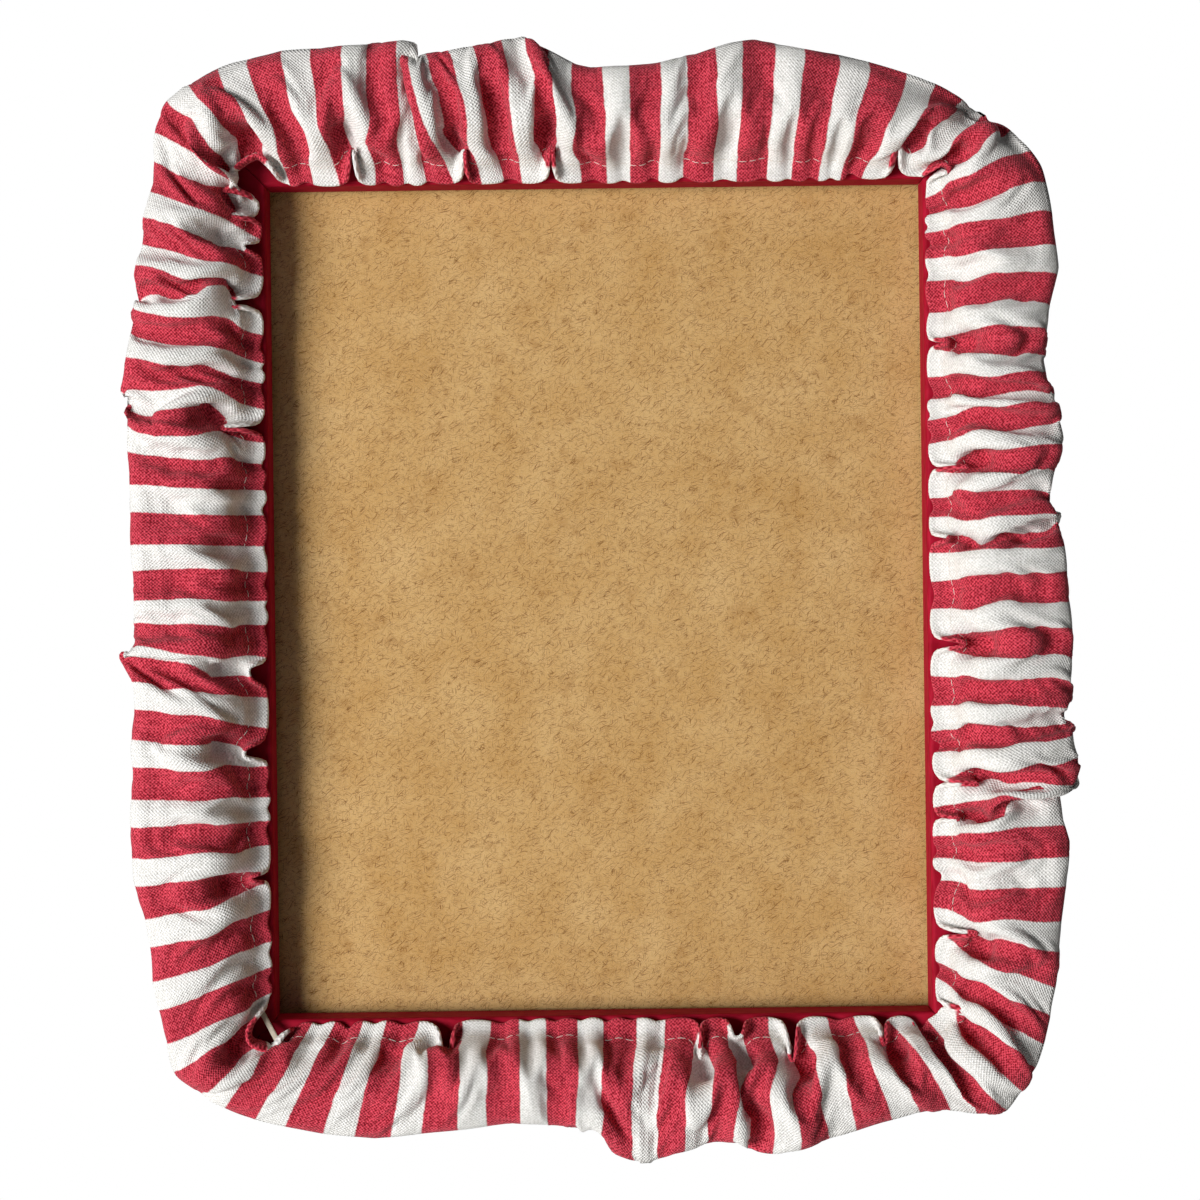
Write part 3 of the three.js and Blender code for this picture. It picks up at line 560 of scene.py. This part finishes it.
def relax(points, flat, from_hem, pleats, total):
    """Lets the cover settle: step by step each thread between neighbours is pulled to its flat length,
    threads that bend too sharply open out, and the cloth stays off the timber, while hem, rim and back
    hem keep their places."""
    start = points.copy()
    rows, columns, _ = points.shape
    along = total / columns
    steps_along = np.linalg.norm(np.roll(start, -1, axis=1) - start, axis=-1)
    least_along = CROWDED_AT_HEM + (CROWDED_BEYOND - CROWDED_AT_HEM) * smooth_share(*CROWDING, flat)[:, None]
    steps_along = np.clip(steps_along, least_along * along, along)
    steps_along = smooth_ring(steps_along.T, along, THREAD_BLUR).T[..., None]
    across, uncreased = {}, {}
    lengths = {1: steps_along}
    for wide in (2, 4, 8):
        lengths[wide] = lengths[wide // 2] + np.roll(lengths[wide // 2], -wide // 2, axis=1)
    hold = HEM_HOLD * (1 - smooth_share(*HEM_HOLD_FADE, flat)) + BACK_HOLD * (flat == flat[-1])
    hold = hold[:, None, None] * np.ones((1, 1, 3))
    rim_row = int(round(FRONT_WIDTH / ROW_STEP))
    hold[rim_row] = RIM_HOLD
    open_out = (smooth_share(*OPENING, flat)[:, None] * (1 - pleats))[..., None]
    for down in (1, 2, 4, 8):
        across[down] = (from_hem[down:] - from_hem[:-down])[..., None]
        first = np.arange(rows - down)
        uncreased[down] = ((first >= rim_row) | (first + down <= rim_row))[:, None, None]
    front = (flat <= FRONT_WIDTH)[:, None]
    diagonal = np.hypot(lengths[1][:-1], across[1])
    random = np.random.default_rng(7)
    rough = random.normal(size=points.shape[:2])
    rough = smooth_ring(rough.T, along, UNEVEN_WIDTH).T
    points[..., 1] += UNEVEN_HEIGHT * rough / rough.std()

    def pull(down, right, rest, strength, least=1.0):
        """Moves points so many rows and columns apart by a share, strength, of what they are further apart
        than at rest, or nearer than the least share of that."""
        first = points[:rows - down] if down else points
        other = np.roll(points, -right, axis=1)[down:]
        gap = other - first
        length = np.linalg.norm(gap, axis=-1, keepdims=True) + 1e-9
        excess = length - np.clip(length, least * rest, rest)
        move = gap * (0.5 * strength * excess / length)
        points[:rows - down] += move
        points[down:] -= np.roll(move, right, axis=1)

    for step in range(RELAX_STEPS):
        points[..., 1] += np.where(front, -PUFF, 0.5 * PUFF) * (1 - step / RELAX_STEPS)
        pull(0, 1, lengths[1], STRETCH_PULL)
        pull(1, 0, across[1], STRETCH_PULL)
        pull(1, 1, diagonal, SHEAR_PULL)
        pull(1, -1, diagonal, SHEAR_PULL)
        # Bends over 2, 4 and 8 steps open out, except across the crease at the rim
        pull(0, 2, lengths[2], 0.5, 0.96)
        pull(2, 0, across[2], 0.5 * uncreased[2], 0.96)
        pull(0, 4, lengths[4], 0.2 + 0.3 * open_out, 0.93)
        pull(4, 0, across[4], 0.5 * uncreased[4], 0.95)
        pull(0, 8, lengths[8], 0.35 * open_out, 0.86)
        pull(8, 0, across[8], 0.4 * uncreased[8], 0.85 + 0.08 * open_out[:-8])
        points += (start - points) * hold
        past_width = np.abs(points[..., 0]) - SIGHT_HALF_WIDTH
        past_height = np.abs(points[..., 2]) - SIGHT_HALF_HEIGHT
        on_rail = np.maximum(past_width, past_height) < RAIL_WIDTH + RAIL_MARGIN
        y = points[..., 1]
        y = np.where(on_rail & front, np.minimum(y, RAIL_FRONT - CLOTH_CLEARANCE), y)
        points[..., 1] = np.where(on_rail & ~front, np.maximum(y, RAIL_BACK + CLOTH_CLEARANCE), y)
    return points


def cloth_normal(points):
    """Directions square to the cloth, out of its good side."""
    right = np.roll(points, -1, axis=1) - np.roll(points, 1, axis=1)
    return unit(np.cross(right, np.gradient(points, axis=0)))


def cloth_places(points, total):
    """Each column's distance along the cloth."""
    return np.arange(points.shape[1]) * total / points.shape[1]


def raised_seam(points, flat, total):
    """The cover with its joining seam: a band from hem to rim where one end laps over the other, raised
    square to the cloth."""
    cloth = cloth_places(points, total)
    band = (np.abs(cloth - SEAM_PLACE) <= SEAM_WIDTH / 2) & (flat <= FRONT_WIDTH)[:, None]
    return points + cloth_normal(points) * (SEAM_HEIGHT * band)[..., None]


def turned_hem(points, flat):
    """Adds the hem's turned-under layer before the first row: it lies behind the front at the hem's
    thickness, and three rows go round the fold between them."""
    normal = cloth_normal(points)
    count = int(round(HEM_TURN / ROW_STEP))
    under = (points - normal * HEM_THICKNESS)[1:count + 1][::-1]
    turns = np.radians([135, 90, 45])[:, None, None]
    half = HEM_THICKNESS / 2
    outward = unit(np.gradient(points, axis=0)[:1])
    edge = points[:1] - normal[:1] * half * (1 - np.cos(turns)) - outward * half * np.sin(turns)
    edge_flat = [-1.2, -0.8, -0.4]
    return np.concatenate([under, edge, points]), np.concatenate([-flat[1:count + 1][::-1], edge_flat, flat])


# Meshes

def ring_quads(rows, columns, closed=False):
    """Faces between rows of points that each close on themselves, also from last to first if closed."""
    row, column = np.meshgrid(np.arange(rows if closed else rows - 1), np.arange(columns), indexing="ij")
    after, beyond = (column + 1) % columns, (row + 1) % rows
    near, far = row * columns, beyond * columns
    return np.stack([near + column, near + after, far + after, far + column], axis=-1).reshape(-1, 4)


def smooth_piece(name, points, faces):
    """A piece with smooth shading, from points in millimetres."""
    mesh = bpy.data.meshes.new(name)
    mesh.from_pydata((points.reshape(-1, 3) * MM).tolist(), [], faces)
    mesh.polygons.foreach_set("use_smooth", np.ones(len(mesh.polygons), dtype=bool))
    mesh.update()
    piece = bpy.data.objects.new(name, mesh)
    bpy.context.scene.collection.objects.link(piece)
    return piece


def cloth_mesh(name, points, flat, total):
    """A mesh through rows of points that close on themselves, with a UV map in flat metres of cloth."""
    row_count, column_count, _ = points.shape
    piece = smooth_piece(name, points, ring_quads(row_count, column_count).tolist())
    row, column = np.meshgrid(np.arange(row_count - 1), np.arange(column_count), indexing="ij")
    u = np.stack([column, column + 1, column + 1, column], axis=-1) * (total / column_count)
    v = np.stack([flat[row], flat[row], flat[row + 1], flat[row + 1]], axis=-1)
    layer = piece.data.uv_layers.new(name="cloth")
    layer.data.foreach_set("uv", (np.stack([u, v], axis=-1) * MM).reshape(-1))
    return piece


def stitch_mesh(name, points, flat, total):
    """Running stitches along the hem: each is a short arched thread of round section, proud of the cloth."""
    column_count = points.shape[1]
    row = int(np.argmin(np.abs(flat - STITCH_LINE)))
    line = points[row]
    inward = points[row - 1] - points[row + 1]
    forward = np.roll(line, -1, axis=0) - np.roll(line, 1, axis=0)
    normal = unit(np.cross(inward, forward))
    normal *= np.where(normal[:, 1:2] > 0, -1, 1)
    side = unit(np.cross(normal, forward))

    def at(values, place):
        slot = np.mod(place / (total / column_count), column_count)
        low = np.floor(slot).astype(int) % column_count
        part = (slot - np.floor(slot))[..., None]
        return values[low] * (1 - part) + values[(low + 1) % column_count] * part

    count = int(total / STITCH_PITCH)
    starts = np.arange(count) * (total / count)
    # Along one stitch: shares of its length, and its height and thickness there in radii
    lengthwise = np.array([0, 0.12, 0.5, 0.88, 1.0])
    arch = np.array([-0.6, 0.35, 0.75, 0.35, -0.6])
    thick = np.array([0.35, 0.9, 1.0, 0.9, 0.35])
    place = starts[:, None] + lengthwise * STITCH_LENGTH
    centre = at(line, place) + at(normal, place) * (arch * STITCH_RADIUS)[:, None]
    angles = np.arange(6) * math.pi / 3
    ring = at(normal, place)[:, :, None] * np.cos(angles)[:, None]
    ring = ring + at(side, place)[:, :, None] * np.sin(angles)[:, None]
    threads = centre[:, :, None] + ring * STITCH_RADIUS * thick[:, None, None]
    rings, sides = len(lengthwise), len(angles)
    first = np.arange(count)[:, None] * rings * sides
    quads = (ring_quads(rings, sides) + first[..., None]).reshape(-1, 4)
    caps = np.concatenate([first + np.arange(sides)[::-1], first + (rings - 1) * sides + np.arange(sides)])
    return smooth_piece(name, threads, quads.tolist() + caps.tolist())


def elastic_mesh(name, path, side):
    """A flat elastic round the frame: an eight-sided flat section carried along a closed path, its width
    along the given side directions and its thickness square to them."""
    forward = np.roll(path, -1, axis=0) - np.roll(path, 1, axis=0)
    front = unit(np.cross(side, forward))
    side = unit(side)
    angles = (np.arange(8) + 0.5) * math.pi / 4
    roundness = 0.6
    across = np.sign(np.cos(angles)) * np.abs(np.cos(angles)) ** roundness * ELASTIC_WIDTH / 2
    deep = np.sign(np.sin(angles)) * np.abs(np.sin(angles)) ** roundness * ELASTIC_THICKNESS / 2
    rings = path[:, None] + side[:, None] * across[None, :, None] + front[:, None] * deep[None, :, None]
    return smooth_piece(name, rings, ring_quads(len(path), len(angles), closed=True).tolist())


# Materials

def node(tree, kind, inputs=None, **settings):
    """Adds a shader node of that kind with its settings. An input is a value, or a socket to link from."""
    made = tree.nodes.new("ShaderNode" + kind)
    for key, value in settings.items():
        setattr(made, key, value)
    for key, value in (inputs or {}).items():
        if isinstance(value, bpy.types.NodeSocket):
            tree.links.new(value, made.inputs[key])
        else:
            made.inputs[key].default_value = value
    return made


def new_material(name):
    """An empty material with nodes. Returns it and its tree."""
    material = bpy.data.materials.new(name)
    material.use_nodes = True
    material.node_tree.nodes.clear()
    return material, material.node_tree


def surface(tree, inputs):
    """Ends a material's nodes with a Principled shader that has those inputs, joined to the output."""
    shader = node(tree, "BsdfPrincipled", inputs)
    node(tree, "OutputMaterial", {"Surface": shader.outputs["BSDF"]})


def striped_linen():
    """Heavy linen canvas in plain weave, printed with crimson stripes on off-white: matt, with threads that
    show as fine dots, paler where they come up through the crimson, slubs that make a thread lighter or
    darker, and stripe edges that wander by a thread. Threads and flecks are drawn a little coarser than
    real ones, so that they show."""
    thread = 0.56 * MM
    slub_length = 11 * MM
    fleck_size = 0.75 * MM
    edge_wander = 0.5 * MM
    wander_size = 1.6 * MM
    material, tree = new_material("striped_linen")
    cloth = node(tree, "UVMap", uv_map="cloth").outputs["UV"]
    wander = node(tree, "TexNoise", {"Vector": cloth, "Scale": 1 / wander_size, "Detail": 1.0})
    parts = node(tree, "SeparateXYZ", {"Vector": cloth})
    moved = node(tree, "Math", {0: wander.outputs["Fac"], 1: edge_wander, 2: parts.outputs["X"]},
                 operation="MULTIPLY_ADD")
    turn = node(tree, "Math", {0: moved.outputs[0], 1: 2 * math.pi / (STRIPE_PAIR * MM)},
                operation="MULTIPLY")
    wave = node(tree, "Math", {0: turn.outputs[0]}, operation="COSINE")
    stripe = node(tree, "MapRange", {0: wave.outputs[0], 1: -0.22, 2: -0.08, 3: 0.0, 4: 1.0})
    threads = []
    for scale in ((1 / thread, 1 / slub_length, 1), (1 / slub_length, 1 / thread, 1)):
        drawn = node(tree, "Mapping", {"Vector": cloth, "Scale": scale})
        threads.append(node(tree, "TexNoise", {"Vector": drawn.outputs[0], "Scale": 1.0, "Detail": 1.5}))
    slub = node(tree, "Math", {i: made.outputs["Fac"] for i, made in enumerate(threads)}, operation="ADD")
    weave_map = node(tree, "Mapping", {"Vector": cloth, "Scale": (math.pi / thread,) * 3})
    weave_parts = node(tree, "SeparateXYZ", {"Vector": weave_map.outputs[0]})
    over = node(tree, "Math", {0: weave_parts.outputs["X"]}, operation="SINE")
    under = node(tree, "Math", {0: weave_parts.outputs["Y"]}, operation="SINE")
    weave = node(tree, "Math", {0: over.outputs[0], 1: under.outputs[0]}, operation="MULTIPLY")
    fleck = node(tree, "TexNoise", {"Vector": cloth, "Scale": 1 / fleck_size, "Detail": 0.0})
    relief = node(tree, "Math", {0: slub.outputs[0], 1: 1.9, 2: weave.outputs[0]}, operation="MULTIPLY_ADD")
    uneven = node(tree, "Math", {0: fleck.outputs["Fac"], 1: 3.0, 2: relief.outputs[0]},
                  operation="MULTIPLY_ADD")
    pale = node(tree, "MapRange", {0: uneven.outputs[0], 1: 2.6, 2: 4.2, 3: 0.0, 4: 1.0})
    white = node(tree, "Mix", {0: pale.outputs[0], 6: linear("#d8d6d1"), 7: linear("#f6f4f1")},
                 data_type="RGBA")
    crimson = node(tree, "Mix", {0: pale.outputs[0], 6: linear("#860b1e"), 7: linear("#e14d5f")},
                   data_type="RGBA")
    colour = node(tree, "Mix", {0: stripe.outputs[0], 6: white.outputs[2], 7: crimson.outputs[2]},
                  data_type="RGBA")
    bump = node(tree, "Bump", {"Height": relief.outputs[0], "Strength": 0.8, "Distance": 0.14 * MM})
    surface(tree, {"Base Color": colour.outputs[2], "Normal": bump.outputs[0], "Roughness": 0.92,
                   "Specular IOR Level": 0.15, "Sheen Weight": 0.1, "Sheen Roughness": 0.5})
    return material


def fibreboard():
    """Raw medium-density fibreboard: pressed wood fibre, matt golden brown, clouded with darker patches,
    its surface a felt of fine pale and dark fibres that lie every way, a few of them long and dark. The
    fibres are drawn a little coarser than real ones, so that they show."""
    cloud_size = 22 * MM
    patch_size = 7 * MM
    bend_size = 3.5 * MM
    bend_depth = 1.4 * MM
    material, tree = new_material("raw_fibreboard")
    place = node(tree, "TexCoord").outputs["Object"]
    cloud = node(tree, "TexNoise",
                 {"Vector": place, "Scale": 1 / cloud_size, "Detail": 4.0, "Roughness": 0.65})
    spread = node(tree, "MapRange", {0: cloud.outputs["Fac"], 1: 0.3, 2: 0.7, 3: 0.0, 4: 1.0})
    base = node(tree, "Mix", {0: spread.outputs[0], 6: linear("#cea05f"), 7: linear("#e2ba7e")},
                data_type="RGBA").outputs[2]
    patch = node(tree, "TexNoise",
                 {"Vector": place, "Scale": 1 / patch_size, "Detail": 3.0, "Roughness": 0.7})
    stain = node(tree, "MapRange", {0: patch.outputs["Fac"], 1: 0.56, 2: 0.8, 3: 0.0, 4: 0.6})
    base = node(tree, "Mix", {0: stain.outputs[0], 6: base, 7: linear("#a87538")},
                data_type="RGBA").outputs[2]
    bent = node(tree, "TexNoise", {"Vector": place, "Scale": 1 / bend_size, "Detail": 0.0})
    bend = node(tree, "VectorMath", {0: bent.outputs["Color"], 1: (bend_depth, 0, bend_depth)},
                operation="MULTIPLY")
    curved = node(tree, "VectorMath", {0: place, 1: bend.outputs[0]}, operation="ADD")
    # Five layers of fibres, each at its own turn and place
    for i, turn in enumerate((-0.1, 0.35, -0.55, 0.8, 1.5)):
        laid = node(tree, "Mapping", {"Vector": curved.outputs[0], "Rotation": (0, turn, 0),
                                      "Location": (0.31 * i, 0, 0.17 * i)})
        length, width = (4.5 * MM, 0.3 * MM) if i % 2 else (2.2 * MM, 0.26 * MM)
        drawn = node(tree, "Mapping", {"Vector": laid.outputs[0], "Scale": (1 / length, 0, 1 / width)})
        strand = node(tree, "TexNoise", {"Vector": drawn.outputs[0], "Scale": 1.0, "Detail": 1.0})
        felt = strand.outputs["Fac"]
        for none, full, most, tone in ((0.605, 0.73, 0.75, "#74420f"), (0.42, 0.25, 0.35, "#dcb77e")):
            shown = node(tree, "MapRange", {0: felt, 1: none, 2: full, 3: 0.0, 4: most})
            base = node(tree, "Mix", {0: shown.outputs[0], 6: base, 7: linear(tone)},
                        data_type="RGBA").outputs[2]
    bump = node(tree, "Bump", {"Height": felt, "Strength": 0.2, "Distance": 0.1 * MM})
    surface(tree, {"Base Color": base, "Normal": bump.outputs[0], "Roughness": 0.85,
                   "Specular IOR Level": 0.1})
    return material


def red_paint():
    """Crimson paint brushed thinly on bare timber: a dull satin, with paler streaks where the brush and the
    wood's grain show."""
    streak_length = 6 * MM
    streak_width = 0.9 * MM
    material, tree = new_material("crimson_paint")
    place = node(tree, "TexCoord").outputs["Object"]
    streak_map = node(tree, "Mapping",
                      {"Vector": place, "Scale": (1 / streak_length, 1 / streak_width, 1 / streak_length)})
    streak = node(tree, "TexNoise", {"Vector": streak_map.outputs[0], "Scale": 1.0, "Detail": 4.0})
    spread = node(tree, "MapRange", {0: streak.outputs["Fac"], 1: 0.35, 2: 0.75, 3: 0.0, 4: 1.0})
    colour = node(tree, "Mix", {0: spread.outputs[0], 6: linear("#8c0a20"), 7: linear("#b01a34")},
                  data_type="RGBA")
    bump = node(tree, "Bump", {"Height": streak.outputs["Fac"], "Strength": 0.4, "Distance": 0.15 * MM})
    surface(tree, {"Base Color": colour.outputs[2], "Normal": bump.outputs[0], "Roughness": 0.6,
                   "Specular IOR Level": 0.05})
    return material


def clear_acrylic():
    """Cast acrylic sheet: clear and polished, seen only by its faint gloss."""
    material, tree = new_material("clear_acrylic")
    surface(tree, {"Base Color": linear("#30302e"), "Roughness": 0.04, "IOR": 1.49, "Alpha": 0.05})
    return material


def plated_steel(name, colour):
    """Stamped steel with thin bright plating: a soft metal gloss, uneven with fine marks."""
    mark_size = 0.8 * MM
    material, tree = new_material(name)
    place = node(tree, "TexCoord").outputs["Object"]
    marks = node(tree, "TexNoise", {"Vector": place, "Scale": 1 / mark_size, "Detail": 4.0})
    gloss = node(tree, "MapRange", {0: marks.outputs["Fac"], 1: 0.3, 2: 0.7, 3: 0.28, 4: 0.45})
    surface(tree, {"Roughness": gloss.outputs[0], "Base Color": linear(colour), "Metallic": 1.0})
    return material


def cotton_thread():
    """Undyed cotton sewing thread: matt off-white, lighter and darker with its twist."""
    twist_size = 0.5 * MM
    material, tree = new_material("cotton_thread")
    place = node(tree, "TexCoord").outputs["Object"]
    twist = node(tree, "TexNoise", {"Vector": place, "Scale": 1 / twist_size, "Detail": 2.0})
    colour = node(tree, "Mix", {0: twist.outputs["Fac"], 6: linear("#c9c1b6"), 7: linear("#e6e0d8")},
                  data_type="RGBA")
    surface(tree, {"Base Color": colour.outputs[2], "Roughness": 0.9})
    return material


def knitted_elastic():
    """Undyed knitted elastic: beige and matt, mottled by its fine knit."""
    knit_size = 0.6 * MM
    material, tree = new_material("knitted_elastic")
    place = node(tree, "TexCoord").outputs["Object"]
    knit = node(tree, "TexNoise", {"Vector": place, "Scale": 1 / knit_size, "Detail": 2.0})
    colour = node(tree, "Mix", {0: knit.outputs["Fac"], 6: linear("#a69a86"), 7: linear("#c9bfae")},
                  data_type="RGBA")
    surface(tree, {"Base Color": colour.outputs[2], "Roughness": 0.85})
    return material


def dress(names, material):
    """Puts one material on those frame nodes."""
    for name in names:
        slots = nodes[name].data.materials
        slots.clear()
        slots.append(material)


# The cover, and the stitches along its hem
points, flat, from_hem, pleats, total = cover_start()
points = relax(points, flat, from_hem, pleats, total)
points = raised_seam(points, flat, total)
points, flat = turned_hem(points, flat)
cover = cloth_mesh("gathered_cover", points, flat, total)
cover.data.materials.append(striped_linen())
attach(cover, "frame")
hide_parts("ruffle_top", "ruffle_right", "ruffle_bottom", "ruffle_left")

stitches = stitch_mesh("hem_stitches", points, flat, total)
stitches.data.materials.append(cotton_thread())
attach(stitches, "frame")

# The elastic in the front hem: between its two layers, and straight and flat to the eye where it is bare
elastic = knitted_elastic()
upper = int(np.argmin(np.abs(flat - CASING_MIDDLE)))
lower = int(np.argmin(np.abs(flat + CASING_MIDDLE)))
casing = (points[upper] + points[lower]) / 2
casing_side = points[upper + 1] - points[upper - 1]
cloth = cloth_places(points, total)
bare = np.flatnonzero((cloth >= BARE_ELASTIC[0]) & (cloth <= BARE_ELASTIC[1]))
casing[bare] = np.linspace(casing[bare[0]], casing[bare[-1]], len(bare))
along = casing[bare[-1]] - casing[bare[0]]
casing_side[bare] = [-along[2], 0, along[0]]
front_elastic = elastic_mesh("casing_elastic", casing, casing_side)
front_elastic.data.materials.append(elastic)
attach(front_elastic, "frame")
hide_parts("front_elastic")

# The elastic in the back hem
step = total / points.shape[1]
back_path = smooth_ring(points[-2], step, ELASTIC_BLUR)
back_path[:, 1] -= BACK_ELASTIC_INSET
back_side = smooth_ring(points[-1] - points[-3], step, ELASTIC_BLUR)
back_elastic = elastic_mesh("back_hem_elastic", back_path, back_side)
back_elastic.data.materials.append(elastic)
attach(back_elastic, "frame")
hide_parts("back_elastic")

# The frame's own solids
zinc = plated_steel("zinc_plated_steel", "#b9bcc0")
brass = plated_steel("brass_plated_steel", "#c09a4e")
dress(["rail_" + side for side in SIDES], red_paint())
dress(["backing_board"], fibreboard())
dress(["acrylic_pane"], clear_acrylic())
dress(["corner_wedge_" + side for side in SIDES], zinc)
for kind in ("turn_button", "button_screw"):
    dress([f"{kind}_{side}_{i}" for side in SIDES for i in (1, 2)], zinc)
dress(["sawtooth_hanger", "hanger_nail_1", "hanger_nail_2"], brass)


# Stage: a pale floor, a world that is white to the camera, a soft key lamp at the left and a rear lamp

def seen_directly(tree):
    """1 for what is seen straight, mirrored or through clear plastic, and 0 for light on the object."""
    path = node(tree, "LightPath")
    mirrored = node(tree, "Math", {0: path.outputs["Is Camera Ray"], 1: path.outputs["Is Glossy Ray"]},
                    operation="MAXIMUM")
    seen = node(tree, "Math", {0: mirrored.outputs[0], 1: path.outputs["Is Transmission Ray"]},
                operation="MAXIMUM")
    return seen.outputs[0]


def pale_floor():
    """A matt pale floor below the hung frame, lighter to the eye than the light that it sends up."""
    mesh = bpy.data.meshes.new("floor")
    ends = (-FLOOR_HALF_WIDTH, FLOOR_HALF_WIDTH)
    corners = [(x, y, FLOOR_LEVEL) for y in (FLOOR_FRONT, FLOOR_BACK) for x in ends]
    mesh.from_pydata(corners, [], [(0, 1, 3, 2)])
    floor = bpy.data.objects.new("floor", mesh)
    bpy.context.scene.collection.objects.link(floor)
    material, tree = new_material("pale_floor")
    glow = node(tree, "Math", {0: seen_directly(tree), 1: FLOOR_GLOW}, operation="MULTIPLY")
    surface(tree, {"Base Color": linear("#c9c8c5"), "Roughness": 0.9, "Emission Strength": glow.outputs[0],
                   "Emission Color": (1, 1, 1, 1)})
    mesh.materials.append(material)


def white_world():
    """Even soft light on the object, and plain white where the world itself is seen."""
    world = bpy.data.worlds.new("studio")
    world.use_nodes = True
    tree = world.node_tree
    tree.nodes.clear()
    seen = seen_directly(tree)
    strength = node(tree, "MapRange", {0: seen, 1: 0.0, 2: 1.0, 3: WORLD_LIGHT, 4: 1.0})
    background = node(tree, "Background", {"Color": (1, 1, 1, 1), "Strength": strength.outputs[0]})
    node(tree, "OutputWorld", {"Surface": background.outputs[0]})
    bpy.context.scene.world = world


def soft_lamp(name, toward, size, power):
    """A round soft lamp in that direction from the frame's middle, facing it."""
    lamp = bpy.data.lights.new(name, "AREA")
    lamp.shape = "DISK"
    lamp.size = size
    lamp.energy = power
    lit = bpy.data.objects.new(name, lamp)
    lit.location = Vector(toward).normalized() * LAMP_DISTANCE
    lit.rotation_euler = (-lit.location).to_track_quat("-Z", "Y").to_euler()
    bpy.context.scene.collection.objects.link(lit)


def photo_camera():
    """The photograph's view: straight on to the window, turned a little about the line of sight."""
    data = bpy.data.cameras.new("camera")
    data.sensor_width = SENSOR_WIDTH
    data.lens = SENSOR_WIDTH * CAMERA_DISTANCE / VIEW_WIDTH
    camera = bpy.data.objects.new("camera", data)
    camera.location = (CAMERA_RIGHT * MM, (RAIL_FRONT - CAMERA_DISTANCE) * MM, -CAMERA_DOWN * MM)
    camera.rotation_mode = "XYZ"
    camera.rotation_euler = (math.pi / 2, CAMERA_ROLL, 0)
    bpy.context.scene.collection.objects.link(camera)
    bpy.context.scene.camera = camera


pale_floor()
white_world()
soft_lamp("key", KEY_TOWARD, KEY_SIZE, KEY_POWER)
soft_lamp("rear", REAR_TOWARD, REAR_SIZE, REAR_POWER)
photo_camera()
bpy.context.scene.view_settings.view_transform = "Standard"
